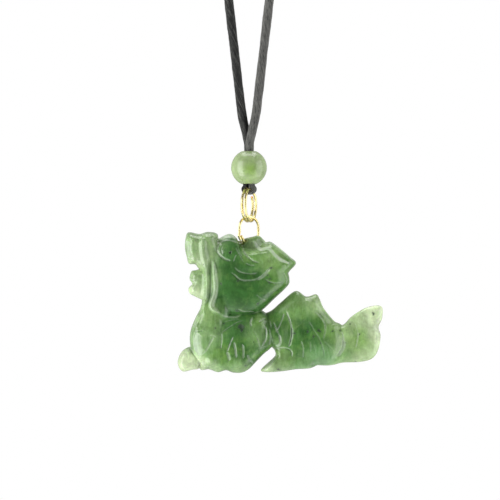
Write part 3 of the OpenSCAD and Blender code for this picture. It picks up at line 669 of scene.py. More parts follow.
def settled(points, field):
    """Points moved onto the field's zero surface in three steps, each down the slope by value / slope and by
    the longest step at most. The slope is found over a nudge to both sides."""
    nudge, longest = 0.03, 0.12
    for _ in range(3):
        slope = np.stack([(field(*(points + move).T) - field(*(points - move).T)) / (2 * nudge)
                          for move in nudge * np.eye(3)], axis=1)
        move = -field(*points.T)[:, None] * slope / np.maximum((slope ** 2).sum(axis=1, keepdims=True), 1e-3)
        size = np.linalg.norm(move, axis=1, keepdims=True)
        points = points + move * np.minimum(1, longest / np.maximum(size, 1e-9))
    return points


def tone_shares(across, up):
    """Shares of the four side colours at points of the drawing: the mean of the table's rows, each weighed
    by exp(-(distance / reach)^2)."""
    rows = np.array(TONES)
    away = ((across[:, None] - rows[:, 0]) ** 2 + (up[:, None] - rows[:, 1]) ** 2) / rows[:, 2] ** 2
    weight = np.exp(-away) + 1e-9
    return weight @ rows[:, 3:] / weight.sum(axis=1, keepdims=True)


def speck_and_pit_shade_mask(across, up, scale):
    """1 inside the dark specks and the painted shade of the drilled pits, each a spot whose radius swings by
    2 and 3 waves round it.
    """
    spots = np.array(SPECKS_AND_PIT_SHADE)
    right, above = across[:, None] - spots[:, 0], up[:, None] - spots[:, 1]
    turn = np.arctan2(above, right)
    lobes = 0.62 + 0.16 * np.sin(2 * turn + 9 * spots[:, 0]) + 0.14 * np.sin(3 * turn + 5 * spots[:, 1])
    gap = np.hypot(right * scale[0], above * scale[1])
    return smooth_step(1.5 - gap / (1.45 * lobes * spots[:, 2])).max(axis=1)


def stone_marks(carving, points):
    """The stone's tones and masks at its points: worked faces with painted highlights, rims for painted
    light, specks with painted shade in the pits, relief for painted light and shade, and the painted
    reflection of the gold at the hole.
    """
    x, y, z = points.T
    across, up = carving.drawn(x, z)
    half = np.sqrt(np.maximum(carving.read(carving.square, x, z), 0))
    faced = smooth_step(np.abs(y) / np.maximum(half, 0.2) * 2 - 1)
    # painted light: the stone is paled towards its thin rims, where light comes through it
    rim = np.exp(-np.maximum(carving.read(carving.bare, x, z), 0) / 1.4)
    ground_and_glint = carving.read(carving.ground_and_glint, x, z) * faced
    relief = carving.read(carving.relief, x, z) * faced / 0.4
    speck_and_pit_shade = speck_and_pit_shade_mask(across, up, carving.unit) * faced
    # painted reflection of the gold ring, laid on the stone beside the hole's front mouth
    gold_reflection = np.exp(-((x + 1.4) / 0.8) ** 2 - ((z - 0.5) / 0.5) ** 2)
    work = np.stack([ground_and_glint, rim, speck_and_pit_shade, 0.5 + 0.5 * np.clip(relief, -1, 1)], axis=1)
    return {
        "stone_tone": ("FLOAT_COLOR", tone_shares(across, up)),
        "hole_gold_reflection": mask_mark(gold_reflection),
        "stone_work_light_and_shade": ("FLOAT_COLOR", work),
    }


def make_dragon(settings, rings, jade):
    """The zero surface of the stone's field, netted from a box of points and settled onto the field."""
    carving = Carving(settings)

    def field(x, y, z):
        return stone(carving, settings, rings, x, y, z)

    steps = settings.mesh_step / MM * np.array([1, 1.5, 1])
    low = np.array([carving.x[0], -carving.half - 3 * steps[1], carving.z[0]])
    high = np.array([carving.x[-1], carving.half + 3 * steps[1], carving.z[-1]])
    box = np.meshgrid(*(np.arange(*span) for span in zip(low, high, steps)), indexing="ij")
    points, quads = surface_net(field(*box), low, steps)
    points = settled(points, field)
    marks = stone_marks(carving, points)
    ring_low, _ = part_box("jump_ring")
    points = points * MM + [0, 0, ring_low.z + rings.link_wire / 2]
    add_piece("carved_dragon", points, [quads], "pendant", ["dragon"],
              dragon_jade(jade), marks)


# Rings
WIRE_SIDES = 24


def wire_mesh(middles, across, deep, wire, fade):
    """Round wire along its middles, thinner over its first and last two rows, where its ends are cut. The
    mark on the cut ends is exp(-(rows to the end / fade)^2)."""
    rows = len(middles)
    size = np.full((rows, 1), wire / 2)
    size[[0, -1]] *= 0.72
    size[[1, -2]] *= 0.93
    angle = circle(WIRE_SIDES)
    deep = np.broadcast_to(deep, across.shape)
    points, faces = sweep(middles, across, deep, size * np.cos(angle), size * np.sin(angle))
    row = np.arange(rows)
    near = np.exp(-(np.minimum(row, rows - 1 - row) / fade) ** 2)
    return points, faces, mask_mark(np.concatenate([np.repeat(near, WIRE_SIDES), [1, 1]]))


def make_split_ring(rings):
    """Two turns of wire: x = shift(a), y = r sin(58 + a), z = r cos(58 + a) for a from 0 to 682 degrees; the
    shift crosses over from one turn to the next in the 38 degrees before the first turn is whole."""
    start, whole, crossing, cut = 58, 682, 38, 0.4
    low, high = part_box("split_ring")
    wire = rings.split_wire
    radius = (high.z - low.z - wire) / 2
    angle = np.linspace(0, whole, 229)
    angle = np.concatenate([[0, cut], angle[1:-1], [whole - cut, whole]])
    shift = (wire + rings.coil_gap) * (smooth_step((angle - 360 + crossing) / crossing) - 0.5)
    turn = np.radians(start + angle)
    across = np.stack([np.zeros_like(turn), np.sin(turn), np.cos(turn)], axis=1)
    middles = radius * across + shift[:, None] * [1, 0, 0]
    points, faces, cut_end = wire_mesh(middles, across, [1.0, 0, 0], wire, 2.2)
    points = lifted(turned(points, -rings.split_turn), "split_ring")
    add_piece("split_ring_coil", points, faces, "coil", ["split_ring"],
              gold_plate("split_ring_gold", rings), {"cut_end": cut_end})


def stadium(way, radius, straight):
    """Places along a stadium: up its left side, over the top, down its right side and round below."""
    arc = np.pi * radius
    over, down = way - straight, way - straight - arc
    below = (down - straight) / radius
    stretch = [over < 0, down < 0, below < 0]
    x = np.select(stretch, [-radius, -radius * np.cos(over / radius), radius], radius * np.cos(below))
    top = straight / 2
    z = np.select(stretch, [way - top, top + radius * np.sin(over / radius), top - down],
                  -top - radius * np.sin(below))
    return x, z


def make_oval_ring(rings):
    """Stadium of wire: straight sides joined by half circles. Its ends lap past each other low on the left
    side, one outwards and one inwards: shift = +-lap_shift exp(-(d / back)^2), where d is how far the way
    from the end is past the stretch that lies aside."""
    over, cut, row, aside, back = (size * MM for size in (0.45, 0.02, 0.05, 0.9, 0.5))
    low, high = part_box("jump_ring")
    wire = rings.link_wire
    radius = (rings.link_width - wire) / 2
    straight = high.z - low.z - rings.link_width
    lap = 2 * straight + 2 * np.pi * radius
    run = np.concatenate([[-over, cut - over], np.linspace(row - over, lap + over - row, 200),
                          [lap + over - cut, lap + over]])
    x, z = stadium((run - 0.52 * radius) % lap, radius, straight)
    level = np.zeros_like(x)
    outwards = unit(np.stack([x, level, z - np.clip(z, -straight / 2, straight / 2)], axis=1))
    past = np.maximum(np.minimum(run + over, lap + over - run) - aside, 0)
    lead = np.where(run < lap / 2, 1, -1) * np.exp(-(past / back) ** 2)
    middles = np.stack([x, level, z], axis=1) + outwards * (rings.lap_shift * lead)[:, None]
    flow = np.gradient(middles, axis=0)
    flow[[0, 1, -2, -1]] = flow[[2, 2, -3, -3]]
    flow = unit(flow)
    across = np.stack([flow[:, 2], level, -flow[:, 0]], axis=1)
    points, faces, cut_end = wire_mesh(middles, across, [0, 1.0, 0], wire, 1.4)
    points = lifted(turned(points, rings.link_turn), "jump_ring")
    add_piece("oval_ring_wire", points, faces, "link", ["jump_ring"],
              gold_plate("oval_ring_gold", rings), {"cut_end": cut_end})


# Bead
def make_bead(settings, jade):
    """Turned profile: the ball's circle, a rounded mouth at each end of the hole, and the hole's wall. The
    core's mask is exp(-(distance / reach)^2) from a place a little right of the middle and below it."""
    radius, hole, edge = settings.diameter / 2, settings.hole / 2, settings.edge
    core_x, core_z, core_reach = 0.09 * radius, -0.16 * radius, 0.40 * radius
    lean = math.asin((hole + edge) / (radius - edge))
    top = (radius - edge) * math.cos(lean)
    ball = np.linspace(lean, np.pi - lean, 72)
    mouth = np.linspace(np.pi / 2 - lean, np.pi, 12)[1:]
    outer = np.stack([radius * np.sin(ball), radius * np.cos(ball)], axis=1)
    upper = np.stack([hole + edge + edge * np.cos(mouth), top + edge * np.sin(mouth)], axis=1)
    wall = np.stack([np.full(16, hole), np.linspace(-top, top, 18)[1:-1]], axis=1)
    points, faces = lathe(np.vstack([outer, upper * [1, -1], wall, upper[::-1]]), 96)
    core = np.exp(-((points[:, 0] - core_x) ** 2 + (points[:, 2] - core_z) ** 2) / core_reach ** 2)
    add_piece("jade_bead", lifted(points, "bead"), faces, "holder", ["bead"], bead_jade(jade),
              {"bead_core": mask_mark(core)})


# Cord
# Lean of each strand from upright
LEAN = math.radians(6.6)
# Where the cord leaves the split ring: out, half width and half depth, as shares of its diameter
PRESSED = (0.34, 0.335, 0.45)
# Heights above the bead between which the strands pass each other, and by which they are round again, in
# diameters of the cord
CROSSING = (0.75, 4.5)
ROUND_AGAIN = 1.3
# Steps along the cord in millimetres: up to the bead, where the photograph shows it, and above
FINE, MIDDLE, COARSE = 0.16, 0.30, 0.6
SHOWN_BELOW = -150
# Distance in millimetres between two samples of the route before it is smoothed
SAMPLE = 0.05
# Length of the cord over which its fibres turn once round it, in millimetres
TWIST = 17.0
# Height above the bead from which the strands' plane turns back, in millimetres
TURN_BACK = 1.5
# Swells of the cord and the wander of its fibres along it: share, length in millimetres over 2 pi, and phase
LUMPS = [(0.022, 3.1, 0.7), (0.020, 1.9, 0), (0.012, 0.8, 2)]
WANDER = [(0.5, 2.3, 0), (0.35, 1.1, 1)]


def stations(out, up, wide, thick):
    """Rows of [out, up, half width, half depth]."""
    return np.stack(np.broadcast_arrays(out, up, wide, thick), axis=1)


def cord_route(cord, bead, rings):
    """Right half of the cord, as [out, up, half width, half depth] in millimetres: round the split ring's
    top wires, up through the bead, past the other strand, up at a lean, and over to the loop's top. Also the
    heights by which the two strands turn."""
    _, ring_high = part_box("split_ring")
    bead_low, bead_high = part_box("bead")
    _, cord_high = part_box("cord")
    across, fit, hole, wire = (size / MM for size in (cord.diameter, cord.fit, bead.hole, rings.split_wire))
    half = across / 2
    pitch = wire + rings.coil_gap / MM
    split_top = ring_high.z / MM - wire / 2
    bend = wire / 2 + fit + half / 2
    bead_mid = (bead_low.z + bead_high.z) / 2 / MM
    bead_top = bead_mid + bead.diameter / MM / 2
    rim = (bead_high.z - bead_low.z) / 2 / MM
    # each leg in the bead's hole: half width, place and half depth
    leg_r, leg_x, leg_depth = hole / 4 - 0.75 * fit, hole / 4 - 0.25 * fit, 0.35 * hole
    pressed_out, pressed_wide, pressed_thick = (share * across for share in PRESSED)
    flat = cord.sleeve_length / MM / 2 + across
    reach = cord_high.x / MM - half - flat
    arc_z = cord.sleeve_diameter / MM / 2 - reach
    strand = arc_z - bead_top - reach * math.sin(LEAN)
    cross_from, cross_to = (share * across for share in CROSSING)

    bow = np.radians(np.arange(0, 91, 10))
    crossing = np.linspace(cross_from, cross_to, 16)
    swell = np.minimum(1, crossing / (ROUND_AGAIN * across))
    aside = leg_x + np.maximum(crossing * math.tan(LEAN), (half + fit - leg_x) * swell)
    straight = np.linspace(cross_to, strand, 24)[1:-1]
    over = np.linspace(-LEAN, np.pi / 2, 24)
    route = np.vstack([
        stations(pitch / 2 + bend * np.sin(bow), split_top - bend * np.cos(bow), half / 2, half),
        stations([pressed_out], split_top + wire / 2 + 0.05, pressed_wide, pressed_thick),
        stations(leg_x, np.linspace(bead_mid - rim, bead_mid + rim, 7), leg_r, leg_depth),
        stations(aside, bead_top + crossing, leg_r + (half - leg_r) * swell,
                 leg_depth + (half - leg_depth) * swell),
        stations(leg_x + straight * math.tan(LEAN), bead_top + straight, half, half),
        stations(flat + reach * np.cos(over), arc_z + reach * np.sin(over), half, half),
    ])
    return route, {"bead_top": bead_top, "bead_mid": bead_mid, "rim": rim, "cross_to": cross_to}


def steps_along(way, heights, bead_top):
    """Distances along the loop, fine below the bead's top, coarser above it, and drawn out to close."""
    marks = [0.0]
    while marks[-1] < way[-1]:
        here = np.interp(marks[-1], way, heights)
        marks.append(marks[-1] + (FINE if here < bead_top else MIDDLE if here < SHOWN_BELOW else COARSE))
    at = np.array(marks[:-1])
    return at * way[-1] / (at[-1] + FINE)


def smoothed(table):
    """Columns that run round a loop, each evened by three running means."""
    for width in (9, 9, 7):
        pad = np.vstack([table[-width:], table, table[:width]])
        window = np.ones(width) / width
        evened = [np.convolve(column, window, mode="same")[width:-width] for column in pad.T]
        table = np.stack(evened, axis=1)
    return table


def waves(at, table):
    """Sum of share sin(at / length + phase)."""
    return sum(share * np.sin(at / long + phase) for share, long, phase in table)[:, None]


def make_cord(cord, bead, rings):
    """Round profile carried along the loop, with raised fibres: the radius is 0.985 and the lumps, and
    0.030 cos(n b + w), 0.018 cos((2 n + 3) b - 1.7 w) and 0.016 cos(5 b + 0.8 w), for n fibres, the angle b
    that turns with the twist and the wander w. The strands' plane turns with the height as in the part."""
    right, level = cord_route(cord, bead, rings)
    left = right[::-1] * [-1, 1, 1, 1]
    loop = np.vstack([right, left, right[:1]])
    way = np.concatenate([[0], np.cumsum(np.hypot(*np.diff(loop[:, :2], axis=0).T))])
    at = steps_along(way, loop[:, 1], level["bead_top"])
    dense = np.arange(0, way[-1], SAMPLE)
    table = smoothed(np.stack([np.interp(dense, way, column) for column in loop.T], axis=1))
    out, up, wide, thick = (np.interp(at, dense, column, period=way[-1])[:, None] for column in table.T)
    flow = np.gradient(np.hstack([out, up]), axis=0)
    flow[[0, -1], 1] = 0
    flow = unit(flow)
    sides, n = 52, cord.fibres
    angle = circle(sides)
    b, w = angle + at[:, None] * 2 * np.pi / TWIST, waves(at, WANDER)
    size = 0.985 + (waves(at, LUMPS) + 0.030 * np.cos(n * b + w) + 0.018 * np.cos((2 * n + 3) * b - 1.7 * w)
                    + 0.016 * np.cos(5 * b + 0.8 * w))
    x = out + wide * size * np.cos(angle) * flow[:, 1:]
    z = up - wide * size * np.cos(angle) * flow[:, :1]
    y = thick * size * np.sin(angle)
    # in the bead the plane turns from the split ring's to the crossing's, and above it back to none
    inside = np.clip((z - level["bead_mid"] + level["rim"]) / (2 * level["rim"]), 0, 1)
    above = np.clip((level["bead_top"] + level["cross_to"] - z) / (level["cross_to"] - TURN_BACK), 0, 1)
    in_bead = rings.split_turn + (cord.cross - rings.split_turn) * inside
    plane = np.where(z < level["bead_top"], in_bead, cord.cross * above)
    c, s = np.cos(plane), np.sin(plane)
    points = np.stack([x * c + y * s, y * c - x * s, z], axis=-1).reshape(-1, 3) * MM
    faces = [grid_faces(len(at), sides, close_rows=True)]
    lay = np.stack([np.cos(b), np.sin(b), np.repeat(at[:, None] / 10, sides, axis=1)], axis=-1)
    add_piece("black_cord", points, faces, "holder", ["cord"], cord_fibre(cord),
              {"cord_lay": ("FLOAT_VECTOR", lay)})


def make_sleeve(cord):
    """Turned tube on the cord's top, its rims rounded and two shallow rings pressed in, laid along X. A ring
    is depth exp(-(d / wide)^2) deep at a distance d from its middle."""
    edge, depth, wide, ring_at = 0.28 * MM, 0.09 * MM, 0.28 * MM, 0.55
    low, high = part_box("closure")
    outer, inner = cord.sleeve_diameter / 2, cord.diameter / 2 + cord.fit
    half = (high.x - low.x) / 2
    bend = np.linspace(0, np.pi / 2, 8)[1:]
    along = np.linspace(-half + edge, half - edge, 90)
    press = depth * sum(np.exp(-((along - place * half) / wide) ** 2) for place in (-ring_at, ring_at))
    outside = np.stack([outer - press, along], axis=1)
    right = np.stack([outer - edge + edge * np.cos(bend), half - edge + edge * np.sin(bend)], axis=1)
    bore = np.stack([np.full(20, inner), np.linspace(half, -half, 20)], axis=1)
    points, faces = lathe(np.vstack([outside, right, bore, right[::-1] * [1, -1]]), 64)
    points = lifted(points[:, [2, 1, 0]], "closure")
    add_piece("cord_sleeve", points, faces, "holder", ["closure"], sleeve_gloss(), {})


# Materials
class Tree:
    """A short hand for a node tree: add a node with its settings, and link it up."""

    def __init__(self, tree):
        self.tree = tree

    def put(self, socket, value):
        """Link a socket's value in, or set a plain one."""
        if isinstance(value, bpy.types.NodeSocket):
            self.tree.links.new(value, socket)
        else:
            socket.default_value = value

    def node(self, kind, inputs=None, **settings):
        made = self.tree.nodes.new(kind)
        for key, value in settings.items():
            setattr(made, key, value)
        for key, value in (inputs or {}).items():
            self.put(made.inputs[key], value)
        return made

    def group(self, group, **inputs):
        """A node group's outputs, its inputs given by name with _ for a space."""
        return self.node("ShaderNodeGroup", {key.replace("_", " "): inputs[key] for key in inputs},
                         node_tree=group).outputs

    def mix(self, factor, a, b):
        """A mix of two colours, each a socket or its red, green and blue."""
        a, b = (c if isinstance(c, bpy.types.NodeSocket) else opaque(c) for c in (a, b))
        return self.node("ShaderNodeMix", {0: factor, 6: a, 7: b}, data_type="RGBA").outputs[2]

    def math(self, operation, a, b=0.5, c=0.5, clamp=False):
        made = self.node("ShaderNodeMath", {0: a, 1: b, 2: c}, operation=operation, use_clamp=clamp)
        return made.outputs[0]

    def times(self, a, b, clamp=False):
        return self.math("MULTIPLY", a, b, clamp=clamp)

    def plus(self, a, b, clamp=False):
        return self.math("ADD", a, b, clamp=clamp)

    def spread(self, value, low, high, to_low=0.0, to_high=1.0):
        """Value brought from low to high onto to_low to to_high."""
        return self.node("ShaderNodeMapRange", {0: value, 1: low, 2: high, 3: to_low, 4: to_high}).outputs[0]

    def noise(self, vector, scale, detail=3.0, roughness=0.55, distortion=0.0):
        made = self.node("ShaderNodeTexNoise", {"Vector": vector, "Scale": scale, "Detail": detail,
                                                "Roughness": roughness, "Distortion": distortion})
        return made.outputs["Fac"]

    def place(self):
        """The piece's own coordinates."""
        return self.node("ShaderNodeTexCoord").outputs["Object"]

    def drawn_out(self, vector, scale, turn=(0, 0, 0)):
        """Coordinates turned and scaled, so that a pattern on them is drawn out where the scale is small."""
        made = self.node("ShaderNodeMapping", {"Vector": vector, "Rotation": turn, "Scale": scale})
        return made.outputs[0]

    def attribute(self, name):
        """What a mesh's attribute holds."""
        return self.node("ShaderNodeAttribute", attribute_name=name, attribute_type="GEOMETRY").outputs

    def marks(self, name):
        """The red, green, blue and alpha channels of a colour attribute."""
        read = self.attribute(name)
        parts = self.node("ShaderNodeSeparateColor", {0: read["Color"]}).outputs
        return parts["Red"], parts["Green"], parts["Blue"], read["Alpha"]

    def finish(self, shader, colour, rough, height, strength, distance):
        """Give a shader its colour, its roughness and a bump of so many metres."""
        bump = self.node("ShaderNodeBump", {"Strength": strength, "Distance": distance, "Height": height})
        self.put(shader.inputs["Base Color"], colour)
        self.put(shader.inputs["Roughness"], rough)
        self.put(shader.inputs["Normal"], bump.outputs[0])


def opaque(colour):
    """A colour with full alpha."""
    return (*colour, 1.0)


def grey(value):
    """A linear grey."""
    return (value, value, value)


def new_group(name, inputs, outputs):
    """An empty shader node group with named sockets: [name, kind, default]."""
    group = bpy.data.node_groups.new(name, "ShaderNodeTree")
    for label, kind, default in inputs:
        socket = group.interface.new_socket(label, in_out="INPUT", socket_type=f"NodeSocket{kind}")
        if default is not None:
            socket.default_value = default
    for label, kind in outputs:
        group.interface.new_socket(label, in_out="OUTPUT", socket_type=f"NodeSocket{kind}")
    tree = Tree(group)
    return group, tree, tree.node("NodeGroupInput").outputs, tree.node("NodeGroupOutput").inputs


def mineral_group():
    """Clouds, felted fibres, fine veins and dark grains of nephrite, on the object's own coordinates."""
    if "nephrite clouds" in bpy.data.node_groups:
        return bpy.data.node_groups["nephrite clouds"]
    group, t, given, out = new_group("nephrite clouds", [
        ("Place", "Vector", None), ("Color", "Color", (0.2, 0.4, 0.1, 1)), ("Cloud size", "Float", 260.0),
        ("Cloud depth", "Float", 0.25), ("Grain", "Float", 0.5),
        ("Grain color", "Color", (0.01, 0.03, 0.01, 1)), ("Veins", "Float", 0.2),
    ], [("Color", "Color"), ("Roughness", "Float"), ("Height", "Float")])
    place, size = given["Place"], given["Cloud size"]
    clouds = t.noise(place, size, 4.0, 0.6, 0.6)
    felt = t.noise(place, t.times(size, 7.0), 5.0, 0.7)
    swing = t.plus(t.spread(clouds, 0.3, 0.7, -1.0, 1.0), t.spread(felt, 0.3, 0.7, -0.45, 0.45))
    drawn = t.drawn_out(place, (1.0, 1.0, 0.45), (0.3, 0.5, 0.9))
    crest = t.math("SUBTRACT", t.noise(drawn, t.times(size, 1.1), 2.0, 0.5, 1.2), 0.5)
    broken = t.spread(t.noise(place, t.times(size, 0.8), 2.0), 0.45, 0.65)
    thin = t.spread(t.math("ABSOLUTE", crest), 0.045, 0.0)
    vein = t.times(t.times(thin, broken), given["Veins"], clamp=True)
    gain = t.plus(t.math("MULTIPLY_ADD", swing, given["Cloud depth"], 1.0), vein)
    lit = t.node("ShaderNodeVectorMath", {0: given["Color"], 3: gain}, operation="SCALE").outputs[0]
    cells = t.node("ShaderNodeTexVoronoi", {"Vector": place, "Scale": t.times(size, 2.2)}).outputs
    sparse = t.spread(t.noise(place, t.times(size, 1.3), 2.0), 0.56, 0.62)
    grains = t.times(t.times(t.spread(cells["Distance"], 0.13, 0.06), sparse), given["Grain"], clamp=True)
    t.put(out["Color"], t.mix(grains, lit, given["Grain color"]))
    t.put(out["Roughness"], t.spread(felt, 0.3, 0.7, -0.02, 0.04))
    t.put(out["Height"], felt)
    return group


def polish_group():
    """Fine wheel marks and softened patches that polishing leaves."""
    if "polishing marks" in bpy.data.node_groups:
        return bpy.data.node_groups["polishing marks"]
    group, t, given, out = new_group("polishing marks", [
        ("Place", "Vector", None), ("Size", "Float", 900.0), ("Base roughness", "Float", 0.12),
        ("Spread", "Float", 0.1),
    ], [("Roughness", "Float"), ("Height", "Float")])
    place, size = given["Place"], given["Size"]
    marks = t.noise(t.drawn_out(place, (1.0, 6.0, 1.0), (0.4, 0.7, 0.2)), size, 4.0, 0.65)
    worn = t.noise(place, t.times(size, 0.25), 2.0)
    both = t.plus(t.spread(marks, 0.35, 0.75, 0.0, 0.6), t.spread(worn, 0.4, 0.7, 0.0, 0.4))
    t.put(out["Roughness"], t.math("MULTIPLY_ADD", both, given["Spread"], given["Base roughness"]))
    t.put(out["Height"], marks)
    return group


def new_material(name, **sockets):
    """A material with one Principled shader, whose constant sockets are set by name."""
    material = bpy.data.materials.new(name)
    material.use_nodes = True
    shader = material.node_tree.nodes["Principled BSDF"]
    for key, value in sockets.items():
        shader.inputs[key.replace("_", " ")].default_value = value
    return material, Tree(material.node_tree), shader


def new_nephrite(name, depth):
    """A polished nephrite that light enters by a share of depth, furthest in its green."""
    return new_material(name, IOR=1.61, Subsurface_Weight=depth, Subsurface_Scale=0.0012,
                        Subsurface_Radius=(0.6, 1.0, 0.35))


def dragon_jade(jade):
    """Translucent green nephrite: drawn tones, clouds, streaks and grains; painted light on thin rims and
    raised folds, painted shade in carved hollows and drilled pits, ground cuts with painted highlights,
    and a painted reflection of the gold beside the hole.
    """
    material, t, shader = new_nephrite("carved nephrite", 0.18)
    place = t.place()
    deep, pale, yellow, blue = t.marks("stone_tone")
    ground_and_glint, rim, speck_and_pit_shade, relief = t.marks("stone_work_light_and_shade")
    # painted shade and light: carved hollows are darkened towards the deep green and raised folds are paled
    low, high = t.spread(relief, 0.5, 0.1), t.spread(relief, 0.5, 1.0)
    drift = t.spread(t.noise(place, 420.0, 3.0, 0.6, 0.5), 0.3, 0.7, -0.20, 0.20)
    # streaks drawn out along the stone's grain, a little off upright, and weaker in its deep green
    drawn = t.drawn_out(place, (1.0, 0.7, 0.28), (0.0, 0.2, 0.0))
    streak = t.spread(t.noise(drawn, 1100.0, 3.0, 0.6, 1.2), 0.3, 0.7, -0.20, 0.20)
    streak = t.times(streak, t.math("SUBTRACT", 1.2, deep))
    warm = t.spread(t.noise(place, 650.0, 3.0, 0.6, 0.5), 0.32, 0.68, -0.25, 0.25)
    deep = t.plus(t.plus(deep, t.plus(drift, streak)), t.times(low, 0.35), clamp=True)
    # painted light: paler at the thin rims
    pale = t.math("MAXIMUM", t.math("MULTIPLY_ADD", streak, -0.40, pale), t.times(rim, 0.55))
    colour = t.mix(deep, jade.leaf, jade.deep)
    colour = t.mix(t.plus(yellow, warm, clamp=True), colour, jade.yellow)
    colour = t.mix(blue, colour, jade.blue)
    colour = t.mix(t.math("MAXIMUM", pale, t.times(high, 0.30)), colour, jade.pale)
    mineral = t.group(mineral_group(), Place=place, Color=colour, Cloud_size=260.0, Cloud_depth=0.30,
                      Grain=0.75, Grain_color=opaque(jade.speck_and_pit_shade), Veins=0.28)
    # the ground faces and their painted highlights, broken up at random
    worn = t.spread(t.noise(place, 900.0, 2.0), 0.35, 0.65, 0.55, 1.15)
    colour = t.mix(t.times(ground_and_glint, worn), mineral["Color"], jade.ground_and_glint)
    # dark grains, and painted shade in the drilled pits
    colour = t.mix(t.times(speck_and_pit_shade, 0.90), colour, jade.speck_and_pit_shade)
    # painted reflection of the gold ring beside the hole
    colour = t.mix(t.times(t.marks("hole_gold_reflection")[0], 0.70), colour, jade.gold_reflection)
    polish = t.group(polish_group(), Place=place, Size=700.0, Base_roughness=0.17, Spread=0.10)
    rough = t.math("MULTIPLY_ADD", ground_and_glint, 0.30, polish["Roughness"])
    rough = t.plus(t.math("MULTIPLY_ADD", speck_and_pit_shade, 0.30, rough), mineral["Roughness"])
    height = t.math("MULTIPLY_ADD", mineral["Height"], 0.35, t.times(polish["Height"], 0.25))
    t.finish(shader, colour, rough, height, 0.10, 0.0001)
    return material


def bead_jade(jade):
    """Paler nephrite with a warm core."""
    material, t, shader = new_nephrite("bead nephrite", 0.15)
    place = t.place()
    colour = t.mix(t.marks("bead_core")[0], jade.bead, jade.bead_core)
    mineral = t.group(mineral_group(), Place=place, Color=colour, Cloud_size=330.0, Cloud_depth=0.14,
                      Grain=0.2, Grain_color=opaque(jade.speck_and_pit_shade), Veins=0.15)
    polish = t.group(polish_group(), Place=place, Size=800.0, Base_roughness=0.16, Spread=0.10)
    rough = t.plus(polish["Roughness"], mineral["Roughness"])
    t.finish(shader, mineral["Color"], rough, mineral["Height"], 0.08, 0.0001)
    return material


def gold_plate(name, rings):
    """Polished plate with wheel marks and tanned patches, and bare copper where the wire was cut."""
    material, t, shader = new_material(name, Metallic=1.0)
    place = t.place()
    tanned = t.spread(t.noise(place, 500.0, 2.0), 0.40, 0.65, 0.0, 0.70)
    tan = np.array(rings.gold) * (0.72, 0.60, 0.38)
    colour = t.mix(t.marks("cut_end")[0], t.mix(tanned, rings.gold, tan), rings.copper)
    polish = t.group(polish_group(), Place=place, Size=2600.0, Base_roughness=0.22, Spread=0.14)
    t.finish(shader, colour, polish["Roughness"], polish["Height"], 0.12, 0.00003)
    return material


def cord_fibre(cord):
    """Black waxed fibres that run along the cord with its twist, some of them worn grey."""
    material, t, shader = new_material("black waxed cord", Sheen_Weight=0.12, Sheen_Roughness=0.5,
                                       Specular_IOR_Level=0.28)
    lay = t.attribute("cord_lay")["Vector"]
    strands = t.noise(t.drawn_out(lay, (1.0, 1.0, 0.55)), 5.0, 6.0, 0.78)
    short = t.noise(t.drawn_out(lay, (2.2, 2.2, 1.6)), 7.0, 4.0, 0.7)
    # the strand on the right gets more grey fibres than the one on the left
    along = t.node("ShaderNodeSeparateXYZ", {0: lay}).outputs["Z"]
    bias = t.spread(along, 20.0, 24.0, 0.10, -0.03)
    worn = t.times(t.spread(t.plus(strands, bias), 0.45, 0.62), t.spread(short, 0.34, 0.56))
    t.finish(shader, t.mix(worn, cord.black, cord.grey), t.spread(strands, 0.3, 0.7, 0.78, 0.52),
             t.plus(strands, t.times(short, 0.6)), 0.7, 0.00012)
    return material


def sleeve_gloss():
    """Glossy black sleeve with light handling marks."""
    material, t, shader = new_material("black sleeve", IOR=1.5)
    place = t.place()
    handled = t.spread(t.noise(place, 700.0, 3.0), 0.4, 0.7)
    colour = t.mix(handled, light(24, 24, 26), light(38, 38, 41))
    polish = t.group(polish_group(), Place=place, Size=1500.0, Base_roughness=0.22, Spread=0.2)
    t.finish(shader, colour, polish["Roughness"], polish["Height"], 0.15, 0.00004)
    return material


# Stage
FLOOR_RADIUS = 1.6
# Each light: offset from the carving's middle, width and height
LEFT_BOX = (-0.32, -0.17, -0.03), (0.26, 0.66)
RIGHT_BOX = (0.34, -0.10, -0.03), (0.36, 0.66)
TOP_BOX = (0, 0.08, 0.42), (0.40, 0.30)
# Power of the right box as a share of the left one's
RIGHT_SHARE = 0.7
# The photograph's width, and its middle's place from the bead's middle, right and down, in its pixels
PHOTO_PX = 500
RIGHT_OF_BEAD_PX, BELOW_BEAD_PX = 1.0, 82.3


def soft_box(name, aim, box, power):
    """A square area light beside the aim, turned to it."""
    offset, size = box
    lamp = bpy.data.lights.new(name, "AREA")
    lamp.shape, lamp.size, lamp.size_y, lamp.energy = "RECTANGLE", *size, power
    holder = link(name, lamp)
    holder.location = aim + Vector(offset)
    holder.rotation_euler = (aim - holder.location).to_track_quat("-Z", "Y").to_euler()


def make_floor(drop):
    """Round pale floor: rings of points whose radius grows as (0 to 1)^1.5, closed by a face in the middle.
    It shines for the camera, and far less for the piece above it."""
    rings, sides = 24, 96
    radius = np.linspace(0.02, 1, rings)[:, None] ** 1.5 * FLOOR_RADIUS
    x, y = radius * np.cos(circle(sides)), radius * np.sin(circle(sides))
    points = np.stack([x, y, np.full_like(x, -drop)], axis=-1).reshape(-1, 3)
    middle = list(range(sides))
    mesh = bpy.data.meshes.new("pale_floor")
    mesh.from_pydata(points.tolist(), [], [*grid_faces(rings, sides).tolist(), middle])
    material, t, shader = new_material("pale floor", Roughness=0.7, Emission_Strength=1.0)
    seen = t.node("ShaderNodeLightPath").outputs["Is Camera Ray"]
    t.put(shader.inputs["Emission Color"], t.mix(seen, grey(0.06), grey(0.9)))
    t.put(shader.inputs["Base Color"], t.mix(t.noise(t.place(), 30.0), grey(0.93), grey(0.97)))
    mesh.materials.append(material)
    link("pale_floor", mesh)


